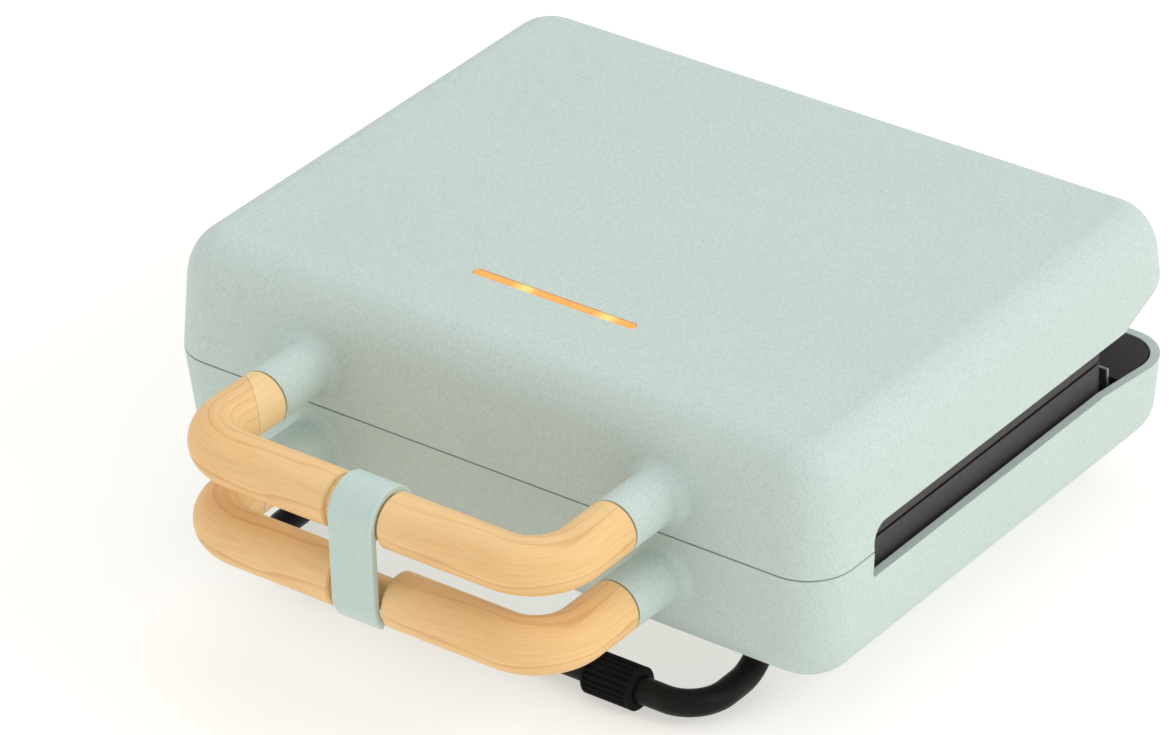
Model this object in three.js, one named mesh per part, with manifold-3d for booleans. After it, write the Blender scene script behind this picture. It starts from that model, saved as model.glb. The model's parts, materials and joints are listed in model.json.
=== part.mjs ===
// Clam-shell donut maker: a hinged lid on a base, wooden bow handles held together by a
// swinging latch, two ring-mould cooking plates and a bent-tube stand with rubber sleeves.
//
// Millimetres, +Z up, +Y towards the hinge. The model is laid out about the middle of the
// body, with z = 0 on the table, and the exported group is moved along Y so that the
// origin lies at the bottom centre of the whole object.

import * as THREE from 'three';
import * as BufferGeometryUtils from 'three/addons/utils/BufferGeometryUtils.js';
import { ParametricGeometry } from 'three/addons/geometries/ParametricGeometry.js';
import Module from 'manifold-3d';

// ---------------------------------------------------------------- driving dimensions

const GAP = 0.3;                 // clearance between pieces that touch

// Body
const BODY_WIDTH = 250;
const BODY_DEPTH = 195.3;
const LID_HEIGHT = 40.2;
const BASE_HEIGHT = 40.6;
const STAND_HEIGHT = 18.9;       // underside of the base above the table
const SEAM = 0.6;                // open seam between lid and base
const WALL = 3;
const CORNER_RADIUS = 15.7;
const DRAFT = 0.07;              // run per unit of height
const LID_EDGE = { side: 12.5, up: 15 };
const BASE_EDGE = { side: 13, up: 12 };

// Side vents: the lid and the base are cut away from front to rear on both sides.
// Places along Y are set back from the body's front or rear face.
const VENT_SETBACK = 26.9;
const VENT_RADIUS = 6.5;
const LID_VENT_HEIGHT = 7.9;
const LID_SLOPE = { start: 32.7, end: 4.7, rise: 18 };
const BASE_VENT_DEPTH = 9.4;
const BASE_DIP = { start: 43.7, end: 17.7, depth: 12.3 };

// Cooking plates
const PLATE_CLEARANCE = 0.65;    // between a plate's skirt and the drafted shell wall
const PLATE_REAR_SETBACK = 35.2;
const PLATE_GAP = 1;             // between the two cooking faces
const PLATE_CORNER = { front: 14, rear: 8 };
const PLATE_SKIRT = { depth: 14.5, wall: 2.5 };
const PLATE_DECK = 3;
const MOULD = { ring: 15, section: 8, wall: 2.5, pitchX: 62, pitchY: 48 };
const PLATE_POST = { inset: 11.6, radius: 4.2, sideInset: 14.3 };

// Parts behind each plate
const CARRIER = { thick: 3, rim: 20, sideRim: 23.3, lip: 2 };
const ELEMENT_RADIUS = 3.2;
const ELEMENT_LOOP = { inset: 8, sideInset: 15, tail: 8 };
const REFLECTOR = { thick: 1, overlap: 3.5 };
const THERMOSTAT = { x: 30, radius: 8, height: 7, tab: 14 };
const SCREW = { shank: 1.9, head: 3.4, headHeight: 2.2, hole: 2.3 };
const SHELL_POST = { sideInset: 12, radius: 4.2, setIn: 33 };

// Handles
const HANDLE_RADIUS = 8.9;
const HANDLE_X = 65.8;           // axis of each leg
const HANDLE_REACH = 54.7;       // axis of the bar in front of the body
const HANDLE_BEND = 15.8;
const UPPER_HANDLE_GAP = 4.4;    // between the wood and the seam
const LOWER_HANDLE_GAP = 5.4;
const SLEEVE_LENGTH = 21.7;
const SLEEVE_FLARE = 3.4;
const SLEEVE_WEB = 4.5;          // wall that the handle screw passes through
const TENON = { radius: 6, length: 15 };
const HANDLE_SCREW_LENGTH = 17;
const LID_SCREW_REACH = 8;       // how far a carrier screw goes into the lid's post
const NECK_SHOULDER_GAP = 0.6;   // between a neck's shoulders and the latch
const UPPER_NECK_DEPTH = 1.4;
const LOWER_NECK_DEPTH = 3.9;

// Latch
const LATCH_WIDTH = 16.4;
const LATCH_THICK = 2.7;
const LATCH_OFFSET = 1.2;        // rests a little to one side of its neck
const LATCH_WRAP = 55;           // degrees past the rear of the upper neck
const HOOK_CLEARANCE = 0.2;      // between the hook's tip and the lower neck's front

// Hinge
const HINGE_SETBACK = 12.65;     // axis in front of the body's rear face
const HINGE_SIDE_INSET = 53;
const HINGE_PIN_RADIUS = 3;
const HINGE_ARM_WIDTH = 11;
const HINGE_EAR = 2;
const HINGE_KNUCKLE = 6.4;
const HINGE_ARM_HEIGHT = 25;
const HINGE_BRACKET_DEPTH = 25;
const COVER_THICK = 1.8;
const COVER_CORNER = 11;
const HINGE_COVER = { gap: 6.5, depth: 12.6 };
const REAR_COVER = { gap: 3.5, rise: 19.2 };

// Light bar in the lid
const LIGHT_BAR = { length: 61, width: 3.2, setback: 38.2, flange: 2.4, flangeThick: 1.2 };
const LAMP = { radius: 2.4, height: 5, powerX: -11, readyX: 20 };
const BOARD = { width: 13, thick: 1.6, postRadius: 2.4 };

// Stand
const FOOT_BAR_RADIUS = 4.3;
const FOOT_BAR_INSET = 40;       // legs in from the sides of the body
const FOOT_BAR_REACH = 7.15;     // bar in front of or behind the body
const FOOT_LEG_INSET = 25.7;     // legs in from the front and rear faces
const FOOT_BEND = 13;
const FOOT_SLEEVE = { radius: 7, length: 18, inset: 31, ribs: 20, rib: 0.6, flat: 0.4 };
const FOOT_SOCKET_DEPTH = 9;

// Electrical parts in the base
const GLAND = { x: 0, radius: 6, flange: 8.5, depth: 26, reach: 8, bore: 3.4 };
const TERMINAL = { setback: 21.7, width: 26, depth: 13, height: 12 };
const FUSE = { x: -38, radius: 2.6, length: 24 };

const ROUND = 16;                // sides of a large round
const SMALL_ROUND = 10;          // sides of a small round
const SCREW_ROUND = 8;           // sides of a screw or its hole

// ---------------------------------------------------------------- derived places

const BODY_FRONT = -BODY_DEPTH / 2;
const BODY_REAR = BODY_DEPTH / 2;
const BODY_SIDE = BODY_WIDTH / 2;
const SEAM_Z = STAND_HEIGHT + BASE_HEIGHT;
const TOP_Z = SEAM_Z + LID_HEIGHT;
const FLOOR_Z = STAND_HEIGHT + WALL;
const VENT_FRONT = BODY_FRONT + VENT_SETBACK;

const FACE_DEPTH = PLATE_GAP / 2;
const SKIRT_DEPTH = FACE_DEPTH + PLATE_SKIRT.depth;
const PLATE_INSET = WALL + DRAFT * SKIRT_DEPTH + PLATE_CLEARANCE;
const PLATE_SIDE = BODY_SIDE - PLATE_INSET;
const PLATE_FRONT = BODY_FRONT + PLATE_INSET;
const PLATE_REAR = BODY_REAR - PLATE_REAR_SETBACK;
const PLATE_MIDDLE = (PLATE_FRONT + PLATE_REAR) / 2;
const MOULD_DEPTH = FACE_DEPTH + MOULD.section + MOULD.wall;
const CARRIER_DEPTH = Math.max(SKIRT_DEPTH, MOULD_DEPTH) + GAP;
const CARRIER_BACK = CARRIER_DEPTH + CARRIER.thick;
const ELEMENT_DEPTH = MOULD_DEPTH + GAP + ELEMENT_RADIUS;
const REFLECTOR_DEPTH = Math.max(CARRIER_BACK, ELEMENT_DEPTH + ELEMENT_RADIUS) + GAP;
const REFLECTOR_BACK = REFLECTOR_DEPTH + REFLECTOR.thick;

const OPENING_SIDE = PLATE_SIDE - CARRIER.sideRim;
const OPENING_FRONT = PLATE_FRONT + CARRIER.rim;
const OPENING_REAR = PLATE_REAR - CARRIER.rim;

const UPPER_HANDLE_Z = SEAM_Z + HANDLE_RADIUS + UPPER_HANDLE_GAP;
const LOWER_HANDLE_Z = SEAM_Z - HANDLE_RADIUS - LOWER_HANDLE_GAP;
const HANDLE_Y = BODY_FRONT - HANDLE_REACH;
const SLEEVE_END = BODY_FRONT - SLEEVE_LENGTH;
const TENON_END = SLEEVE_END + TENON.length;
const SLEEVE_BORE_END = TENON_END + GAP;
const HANDLE_SCREW_SEAT = SLEEVE_BORE_END + SLEEVE_WEB;
const NECK_WIDTH = LATCH_WIDTH + 2 * (LATCH_OFFSET + NECK_SHOULDER_GAP);
const UPPER_NECK_RADIUS = HANDLE_RADIUS - UPPER_NECK_DEPTH;
const LOWER_NECK_RADIUS = HANDLE_RADIUS - LOWER_NECK_DEPTH;
const LATCH_INNER = UPPER_NECK_RADIUS + GAP;
const LATCH_OUTER = LATCH_INNER + LATCH_THICK;
const LATCH_HOOK = Math.acos((LOWER_NECK_RADIUS + HOOK_CLEARANCE) / LATCH_INNER);

const HINGE_X = BODY_SIDE - HINGE_SIDE_INSET;
const HINGE_Y = BODY_REAR - HINGE_SETBACK;
const HINGE_BORE = HINGE_PIN_RADIUS + GAP;
const HINGE_OUTER_EAR = HINGE_ARM_WIDTH / 2 + GAP + HINGE_EAR;

const LIGHT_BAR_Y = BODY_FRONT + LIGHT_BAR.setback;
const BOARD_Z = TOP_Z - WALL - LIGHT_BAR.flangeThick - LAMP.height - BOARD.thick - 3 * GAP;
const BOARD_POST_X = LIGHT_BAR.length / 2 + LIGHT_BAR.flange + BOARD.postRadius + 1;
const BOARD_HALF_LENGTH = BOARD_POST_X + BOARD.postRadius;

const FOOT_BAR_X = BODY_SIDE - FOOT_BAR_INSET;
const FOOT_BAR_Y = BODY_REAR + FOOT_BAR_REACH;
const FOOT_LEG_Y = BODY_REAR - FOOT_LEG_INSET;
const FOOT_BAR_Z = FOOT_SLEEVE.radius - FOOT_SLEEVE.flat;
const FOOT_SLEEVE_X = FOOT_BAR_X - FOOT_SLEEVE.inset;

const FRONT_REACH = -HANDLE_Y + LATCH_OUTER;
const REAR_REACH = FOOT_BAR_Y + FOOT_SLEEVE.radius;

// ---------------------------------------------------------------- solids

const wasm = await Module();
wasm.setup();

// The signed volume tells whether a closed geometry's faces point outwards.
function signedVolume(positions, triangles) {
  let volume = 0;
  const corner = [new THREE.Vector3(), new THREE.Vector3(), new THREE.Vector3()];
  for (let i = 0; i < triangles.length; i += 3) {
    corner.forEach((point, k) => point.fromArray(positions, 3 * triangles[i + k]));
    volume += corner[0].dot(corner[1].cross(corner[2])) / 6;
  }
  return volume;
}

// A closed geometry becomes a manifold solid: shared vertices are merged, triangles that
// have collapsed to a line are dropped, and inward faces are turned round.
function solid(geometry) {
  const bare = geometry.clone();
  bare.deleteAttribute('normal');
  bare.deleteAttribute('uv');
  const merged = BufferGeometryUtils.mergeVertices(bare, 1e-4);
  const positions = merged.attributes.position.array;
  const triangles = [];
  const index = merged.index.array;
  for (let i = 0; i < index.length; i += 3) {
    const [a, b, c] = [index[i], index[i + 1], index[i + 2]];
    if (a !== b && b !== c && c !== a) triangles.push(a, b, c);
  }
  if (signedVolume(positions, triangles) < 0) triangles.reverse();
  const vertProperties = new Float32Array(positions);
  const triVerts = new Uint32Array(triangles);
  return new wasm.Manifold(new wasm.Mesh({ numProp: 3, vertProperties, triVerts }));
}

function surface(manifold) {
  const mesh = manifold.getMesh();
  const geometry = new THREE.BufferGeometry();
  geometry.setAttribute('position', new THREE.BufferAttribute(mesh.vertProperties, 3));
  geometry.setIndex(new THREE.BufferAttribute(mesh.triVerts, 1));
  return geometry;
}

function join(...solids) {
  return solids.reduce((sum, next) => sum.add(next));
}

function cut(body, ...tools) {
  return tools.reduce((rest, tool) => rest.subtract(tool), body);
}

// ---------------------------------------------------------------- basic shapes

function box([x0, x1], [y0, y1], [z0, z1]) {
  const geometry = new THREE.BoxGeometry(x1 - x0, y1 - y0, z1 - z0);
  return solid(geometry.translate((x0 + x1) / 2, (y0 + y1) / 2, (z0 + z1) / 2));
}

// A closed outline turned about the axis that runs from one end of the piece to the other.
// The profile lists [distance along the axis, radius], and starts and ends on the axis.
function turned(profile, axis, [x, y, z], sides = SMALL_ROUND) {
  const points = profile.map(([along, radius]) => new THREE.Vector2(radius, along));
  const geometry = new THREE.LatheGeometry(points, sides);
  if (axis === 'x') geometry.rotateZ(-Math.PI / 2);
  if (axis === 'z') geometry.rotateX(Math.PI / 2);
  return solid(geometry.translate(x, y, z));
}

// A plain round bar between two places along its axis.
function bar(radius, from, to, axis, centre, sides = SMALL_ROUND) {
  return turned([[from, 0], [from, radius], [to, radius], [to, 0]], axis, centre, sides);
}

// A rectangle whose corners are rounded, as a shape in plan.
function roundedPlan(x0, x1, y0, y1, front, rear = front) {
  const shape = new THREE.Shape();
  shape.moveTo(x0 + front, y0);
  shape.lineTo(x1 - front, y0);
  shape.absarc(x1 - front, y0 + front, front, -Math.PI / 2, 0);
  shape.lineTo(x1, y1 - rear);
  shape.absarc(x1 - rear, y1 - rear, rear, 0, Math.PI / 2);
  shape.lineTo(x0 + rear, y1);
  shape.absarc(x0 + rear, y1 - rear, rear, Math.PI / 2, Math.PI);
  shape.lineTo(x0, y0 + front);
  shape.absarc(x0 + front, y0 + front, front, Math.PI, 1.5 * Math.PI);
  return shape;
}

function slab(shape, z0, z1, curveSegments = 2) {
  const geometry = new THREE.ExtrudeGeometry(shape, {
    depth: z1 - z0, bevelEnabled: false, curveSegments,
  });
  return solid(geometry.translate(0, 0, z0));
}

// A shape drawn in the (y, z) plane and given a thickness along X.
function crossSlab(shape, x0, x1, curveSegments = 3) {
  const geometry = new THREE.ExtrudeGeometry(shape, {
    depth: x1 - x0, bevelEnabled: false, curveSegments,
  });
  geometry.rotateX(Math.PI / 2).rotateZ(Math.PI / 2);
  return solid(geometry.translate(x0, 0, 0));
}

// ---------------------------------------------------------------- drafted, rounded shells

const CORNER_STEPS = 4;

// One point of the body's plan outline, pulled in by an inset.
function planPoint(step, inset) {
  const perCorner = CORNER_STEPS + 1;
  const corner = Math.floor(step / perCorner) % 4;
  const turn = (corner + (step % perCorner) / CORNER_STEPS) * (Math.PI / 2);
  const radius = Math.max(CORNER_RADIUS - inset, 1.5);
  const reachX = BODY_WIDTH / 2 - inset - radius;
  const reachY = BODY_DEPTH / 2 - inset - radius;
  const signX = corner === 0 || corner === 3 ? 1 : -1;
  const signY = corner < 2 ? 1 : -1;
  return [signX * reachX + radius * Math.cos(turn), signY * reachY + radius * Math.sin(turn)];
}

// Stacks outlines at the given levels ([height, inset]) and closes both ends flat.
function stacked(levels) {
  const steps = 4 * (CORNER_STEPS + 1);
  const rings = [[levels[0][0], null], ...levels, [levels.at(-1)[0], null]];
  const geometry = new ParametricGeometry((u, v, target) => {
    const [height, inset] = rings[Math.round(v * (rings.length - 1))];
    const [x, y] = inset === null ? [0, 0] : planPoint(Math.round(u * steps) % steps, inset);
    target.set(x, y, height);
  }, steps, rings.length - 1);
  return solid(geometry);
}

// Levels of a half shell: a drafted wall from the seam to a rounded outer edge. Depth is
// counted from the seam, offset is how far inside the outer surface the levels lie.
function shellLevels(height, edge, offset, start) {
  const side = Math.max(edge.side - offset, 1);
  const up = Math.max(edge.up - offset, 1);
  const reach = height - offset;
  const levels = [[start, offset + DRAFT * Math.max(start, 0)]];
  const steps = 4;
  for (let i = 0; i <= steps; i += 1) {
    const turn = (i / steps) * (Math.PI / 2);
    const depth = reach - up + up * Math.sin(turn);
    levels.push([depth, offset + DRAFT * (reach - up) + side * (1 - Math.cos(turn))]);
  }
  return levels;
}

// A half shell filled solid, as far in from its outer surface as the offset says.
function filled(height, edge, direction, offset, start) {
  const toZ = ([depth, inset]) => [SEAM_Z + direction * depth, inset];
  return stacked(shellLevels(height, edge, offset, start).map(toZ));
}

// A half shell with its open side at the seam. The bosses inside it are trimmed to stop
// in the middle of the wall.
function tub(height, edge, direction, bosses) {
  const outer = filled(height, edge, direction, 0, SEAM / 2);
  const hollow = filled(height, edge, direction, WALL, -WALL);
  const middle = filled(height, edge, direction, WALL / 2, -WALL);
  return join(cut(outer, hollow), bosses.intersect(middle));
}

// A moulded sleeve for a handle leg, with its root flared into the front wall.
function sleeve(x, z) {
  const root = BODY_FRONT + WALL;
  const face = BODY_FRONT + 1;
  const profile = [[SLEEVE_END, 0], [SLEEVE_END, HANDLE_RADIUS]];
  const steps = 4;
  for (let i = 0; i <= steps; i += 1) {
    const turn = (i / steps) * (Math.PI / 2);
    const along = face - SLEEVE_FLARE + SLEEVE_FLARE * Math.sin(turn);
    profile.push([along, HANDLE_RADIUS + SLEEVE_FLARE * (1 - Math.cos(turn))]);
  }
  profile.push([root, HANDLE_RADIUS + SLEEVE_FLARE], [root, 0]);
  return turned(profile, 'y', [x, 0, z], ROUND);
}

// The stepped hole through a sleeve: tenon bore, screw hole and a seat for the screw head.
function sleeveBore(x, z) {
  const past = BODY_FRONT + 3 * WALL;
  return turned([
    [SLEEVE_END - 1, 0],
    [SLEEVE_END - 1, TENON.radius + GAP],
    [SLEEVE_BORE_END, TENON.radius + GAP],
    [SLEEVE_BORE_END, SCREW.hole],
    [HANDLE_SCREW_SEAT, SCREW.hole],
    [HANDLE_SCREW_SEAT, SCREW.head + GAP],
    [past, SCREW.head + GAP],
    [past, 0],
  ], 'y', [x, 0, z], SMALL_ROUND);
}

const SIDES = [['left', -1], ['right', 1]];
const POST_PLACES = [-1, 1].flatMap((side) => [
  [side * (BODY_SIDE - SHELL_POST.sideInset), PLATE_FRONT + SHELL_POST.setIn],
  [side * (BODY_SIDE - SHELL_POST.sideInset), PLATE_REAR - SHELL_POST.setIn],
]);
const PLATE_POST_PLACES = [-1, 1].flatMap((side) => [
  [side * (PLATE_SIDE - PLATE_POST.sideInset), PLATE_FRONT + PLATE_POST.inset],
  [side * (PLATE_SIDE - PLATE_POST.sideInset), PLATE_REAR - PLATE_POST.inset],
]);

// The cut that opens both sides and the rear of the lid.
function lidVent() {
  const below = SEAM_Z - 5;
  const edge = SEAM_Z + LID_VENT_HEIGHT;
  const far = BODY_REAR + 5;
  const shape = new THREE.Shape();
  shape.moveTo(VENT_FRONT, below);
  shape.lineTo(VENT_FRONT, edge - VENT_RADIUS);
  shape.absarc(VENT_FRONT + VENT_RADIUS, edge - VENT_RADIUS, VENT_RADIUS, Math.PI, Math.PI / 2, true);
  shape.lineTo(BODY_REAR - LID_SLOPE.start, edge);
  shape.lineTo(BODY_REAR - LID_SLOPE.end, SEAM_Z + LID_SLOPE.rise);
  shape.lineTo(far, SEAM_Z + LID_SLOPE.rise);
  shape.lineTo(far, below);
  return crossSlab(shape, -BODY_WIDTH, BODY_WIDTH, 2);
}

// The cut that lowers the rim of the base along both sides and the rear.
function baseVent() {
  const above = SEAM_Z + 5;
  const edge = SEAM_Z - BASE_VENT_DEPTH;
  const far = BODY_REAR + 5;
  const shape = new THREE.Shape();
  shape.moveTo(VENT_FRONT, above);
  shape.lineTo(far, above);
  shape.lineTo(far, SEAM_Z - BASE_DIP.depth);
  shape.lineTo(BODY_REAR - BASE_DIP.end, SEAM_Z - BASE_DIP.depth);
  shape.lineTo(BODY_REAR - BASE_DIP.start, edge);
  shape.lineTo(VENT_FRONT + VENT_RADIUS, edge);
  shape.absarc(VENT_FRONT + VENT_RADIUS, edge + VENT_RADIUS, VENT_RADIUS, -Math.PI / 2, -Math.PI, true);
  return crossSlab(shape, -BODY_WIDTH, BODY_WIDTH, 2);
}

function lightBarPlan(grow) {
  const half = LIGHT_BAR.width / 2 + grow;
  const reach = LIGHT_BAR.length / 2 + grow;
  return roundedPlan(-reach, reach, LIGHT_BAR_Y - half, LIGHT_BAR_Y + half, half * 0.98);
}

function lidBosses() {
  const carrierEnd = SEAM_Z + CARRIER_BACK + GAP;
  const armEnd = SEAM_Z + HINGE_ARM_HEIGHT + GAP;
  const boardEnd = BOARD_Z + BOARD.thick + GAP;
  const half = HINGE_ARM_WIDTH / 2;
  const posts = POST_PLACES.map(([x, y]) => bar(SHELL_POST.radius, carrierEnd, TOP_Z, 'z', [x, y, 0]));
  for (const [, side] of SIDES) {
    const x = side * HINGE_X;
    const hinge = [HINGE_Y - HINGE_KNUCKLE, HINGE_Y + HINGE_KNUCKLE];
    posts.push(box([x - half, x + half], hinge, [armEnd, TOP_Z]));
    const boardPost = [side * BOARD_POST_X, LIGHT_BAR_Y, 0];
    posts.push(bar(BOARD.postRadius, boardEnd, TOP_Z, 'z', boardPost, SCREW_ROUND));
  }
  return join(...posts);
}

function lidShell() {
  let shell = cut(tub(LID_HEIGHT, LID_EDGE, 1, lidBosses()), lidVent());
  shell = join(shell, ...SIDES.map(([, side]) => sleeve(side * HANDLE_X, UPPER_HANDLE_Z)));
  shell = cut(shell, ...SIDES.map(([, side]) => sleeveBore(side * HANDLE_X, UPPER_HANDLE_Z)));
  const postEnd = SEAM_Z + CARRIER_BACK + GAP;
  const holes = POST_PLACES.map(([x, y]) => (
    bar(SCREW.hole, postEnd - 1, postEnd + LID_SCREW_REACH + 1, 'z', [x, y, 0], SCREW_ROUND)));
  return cut(shell, ...holes, slab(lightBarPlan(GAP), TOP_Z - 2 * WALL, TOP_Z + 1));
}

function baseBosses() {
  const carrierEnd = SEAM_Z - CARRIER_BACK - GAP;
  const pedestal = SEAM_Z - HINGE_BRACKET_DEPTH - GAP;
  const half = HINGE_OUTER_EAR;
  const posts = POST_PLACES.map(([x, y]) => (
    bar(SHELL_POST.radius + 1, STAND_HEIGHT, carrierEnd, 'z', [x, y, 0])));
  for (const [, side] of SIDES) {
    const x = side * HINGE_X;
    const hinge = [HINGE_Y - HINGE_KNUCKLE, HINGE_Y + HINGE_KNUCKLE];
    posts.push(box([x - half, x + half], hinge, [STAND_HEIGHT, pedestal]));
    for (const end of [-1, 1]) {
      const centre = [side * FOOT_BAR_X, end * FOOT_LEG_Y, 0];
      posts.push(bar(FOOT_BAR_RADIUS + WALL, STAND_HEIGHT, FLOOR_Z + FOOT_SOCKET_DEPTH + WALL, 'z', centre));
    }
  }
  return join(...posts);
}

const SCREW_SEAT_Z = FLOOR_Z + 1;

function baseShell() {
  let shell = cut(tub(BASE_HEIGHT, BASE_EDGE, -1, baseBosses()), baseVent());
  shell = join(shell, ...SIDES.map(([, side]) => sleeve(side * HANDLE_X, LOWER_HANDLE_Z)));
  shell = cut(shell, ...SIDES.map(([, side]) => sleeveBore(side * HANDLE_X, LOWER_HANDLE_Z)));
  for (const [x, y] of POST_PLACES) {
    shell = cut(shell,
      bar(SCREW.head + GAP, STAND_HEIGHT - 1, SCREW_SEAT_Z, 'z', [x, y, 0]),
      bar(SCREW.hole, SCREW_SEAT_Z - 1, SEAM_Z, 'z', [x, y, 0], SCREW_ROUND));
  }
  for (const [, side] of SIDES) {
    for (const end of [-1, 1]) {
      shell = cut(shell, bar(FOOT_BAR_RADIUS + GAP, STAND_HEIGHT - 1, FLOOR_Z + FOOT_SOCKET_DEPTH,
        'z', [side * FOOT_BAR_X, end * FOOT_LEG_Y, 0]));
    }
  }
  return cut(shell, bar(GLAND.radius + GAP, BODY_REAR - 4 * WALL, BODY_REAR + 2, 'y',
    [GLAND.x, 0, SEAM_Z - GLAND.depth]));
}

// ---------------------------------------------------------------- bent tubes

// A path whose steps fall on chosen stations, so that straights take one step each.
class StationPath extends THREE.Curve {
  constructor(stations) {
    super();
    this.stations = stations;
  }

  station(u) {
    return this.stations[Math.round(u * (this.stations.length - 1))];
  }

  getPointAt(u) {
    return this.station(u).point.clone();
  }

  getTangentAt(u) {
    return this.station(u).tangent.clone();
  }
}

// Stations along straight lines through the corners, with each inner corner rounded.
function roundedStations(corners, bend, steps) {
  const points = corners.map((corner) => new THREE.Vector3(...corner));
  const stations = [];
  const direction = (from, to) => to.clone().sub(from).normalize();
  stations.push({ point: points[0], tangent: direction(points[0], points[1]) });
  for (let i = 1; i < points.length - 1; i += 1) {
    const into = direction(points[i - 1], points[i]);
    const out = direction(points[i], points[i + 1]);
    const half = into.angleTo(out) / 2;
    const start = points[i].clone().addScaledVector(into, -bend * Math.tan(half));
    const inward = out.clone().addScaledVector(into, -out.dot(into)).normalize();
    for (let k = 0; k <= steps; k += 1) {
      const turn = (2 * half * k) / steps;
      const point = start.clone()
        .addScaledVector(into, bend * Math.sin(turn))
        .addScaledVector(inward, bend * (1 - Math.cos(turn)));
      const tangent = into.clone().multiplyScalar(Math.cos(turn))
        .addScaledVector(inward, Math.sin(turn));
      stations.push({ point, tangent });
    }
  }
  stations.push({ point: points.at(-1), tangent: direction(points.at(-2), points.at(-1)) });
  return stations;
}

function bentTube(radius, corners, bend, sides, steps) {
  const circle = new THREE.Shape();
  circle.absarc(0, 0, radius, 0, 2 * Math.PI);
  const stations = roundedStations(corners, bend, steps);
  const geometry = new THREE.ExtrudeGeometry(circle, {
    steps: stations.length - 1,
    extrudePath: new StationPath(stations),
    bevelEnabled: false,
    curveSegments: sides / 2,
  });
  return solid(geometry);
}

// ---------------------------------------------------------------- handles and latch

function handle(z, neckRadius) {
  const start = SLEEVE_END - GAP;
  const legs = [[-HANDLE_X, start], [-HANDLE_X, HANDLE_Y], [HANDLE_X, HANDLE_Y], [HANDLE_X, start]];
  let wood = bentTube(HANDLE_RADIUS, legs.map(([x, y]) => [x, y, z]), HANDLE_BEND, ROUND, 5);
  const half = NECK_WIDTH / 2;
  const around = bar(HANDLE_RADIUS + 2, -half, half, 'x', [0, HANDLE_Y, z], ROUND);
  wood = cut(wood, cut(around, bar(neckRadius, -half - 1, half + 1, 'x', [0, HANDLE_Y, z], ROUND)));
  for (const [, side] of SIDES) {
    const centre = [side * HANDLE_X, 0, z];
    wood = join(wood, bar(TENON.radius, start - 1, TENON_END, 'y', centre));
    const holeEnd = TENON_END - HANDLE_SCREW_LENGTH;
    wood = cut(wood, bar(SCREW.hole, holeEnd, TENON_END + 1, 'y', centre, SCREW_ROUND));
  }
  return wood;
}

// The latch is a band round the upper neck, down the front and under the lower neck.
function latch() {
  const degrees = Math.PI / 180;
  const rear = -LATCH_WRAP * degrees;
  const hook = Math.PI + LATCH_HOOK;
  const shape = new THREE.Shape();
  const at = (radius, turn) => [HANDLE_Y + radius * Math.cos(turn), radius * Math.sin(turn)];
  const [startY, startZ] = at(LATCH_OUTER, rear);
  shape.moveTo(startY, UPPER_HANDLE_Z + startZ);
  shape.absarc(HANDLE_Y, UPPER_HANDLE_Z, LATCH_OUTER, rear, Math.PI, false);
  shape.absarc(HANDLE_Y, LOWER_HANDLE_Z, LATCH_OUTER, Math.PI, hook, false);
  shape.absarc(HANDLE_Y, LOWER_HANDLE_Z, LATCH_INNER, hook, Math.PI, true);
  shape.absarc(HANDLE_Y, UPPER_HANDLE_Z, LATCH_INNER, Math.PI, rear, true);
  const half = LATCH_WIDTH / 2;
  return crossSlab(shape, LATCH_OFFSET - half, LATCH_OFFSET + half, ROUND / 2);
}

// A screw along one axis; its head's underside sits at `seat`, its shank goes to `tip`.
function screw(seat, tip, axis, centre) {
  const back = seat - Math.sign(tip - seat) * SCREW.headHeight;
  return turned([
    [back, 0],
    [back, SCREW.head * 0.8],
    [seat, SCREW.head],
    [seat, SCREW.shank],
    [tip, SCREW.shank],
    [tip, 0],
  ], axis, centre, SCREW_ROUND);
}

// ---------------------------------------------------------------- plates and heaters

// Depths are counted from the seam: up for the lid's parts, down for the base's.
function depthSpan(direction, from, to) {
  const ends = [SEAM_Z + direction * from, SEAM_Z + direction * to];
  return [Math.min(...ends), Math.max(...ends)];
}

const MOULD_PLACES = [
  [-0.5, 1], [0.5, 1], [-1, 0], [0, 0], [1, 0], [-0.5, -1], [0.5, -1],
].map(([column, row]) => [column * MOULD.pitchX, PLATE_MIDDLE + row * MOULD.pitchY]);

function cookingPlate(direction) {
  const edge = PLATE_SIDE;
  const wall = PLATE_SKIRT.wall;
  const span = (from, to) => depthSpan(direction, from, to);
  const { front, rear } = PLATE_CORNER;
  const outline = roundedPlan(-edge, edge, PLATE_FRONT, PLATE_REAR, front, rear);
  const hollow = roundedPlan(-edge + wall, edge - wall, PLATE_FRONT + wall, PLATE_REAR - wall,
    front - wall, rear - wall);
  let plate = cut(
    slab(outline, ...span(FACE_DEPTH, SKIRT_DEPTH)),
    slab(hollow, ...span(FACE_DEPTH + PLATE_DECK, SKIRT_DEPTH + 1)),
  );
  const outer = MOULD.ring + MOULD.section + MOULD.wall;
  for (const [x, y] of MOULD_PLACES) {
    const [low, high] = span(FACE_DEPTH + PLATE_DECK / 2, MOULD_DEPTH);
    plate = join(plate, bar(outer, low, high, 'z', [x, y, 0], SMALL_ROUND));
  }
  for (const [x, y] of PLATE_POST_PLACES) {
    const [low, high] = span(FACE_DEPTH + PLATE_DECK / 2, SKIRT_DEPTH);
    plate = join(plate, bar(PLATE_POST.radius, low, high, 'z', [x, y, 0]));
    const [holeLow, holeHigh] = span(FACE_DEPTH + PLATE_DECK, SKIRT_DEPTH + 1);
    plate = cut(plate, bar(SCREW.hole, holeLow, holeHigh, 'z', [x, y, 0], SCREW_ROUND));
  }
  for (const [x, y] of MOULD_PLACES) {
    const ring = new THREE.TorusGeometry(MOULD.ring, MOULD.section, 8, ROUND);
    ring.rotateZ(0.01).translate(x, y, SEAM_Z + direction * FACE_DEPTH);
    plate = cut(plate, solid(ring));
  }
  return plate;
}

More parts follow.
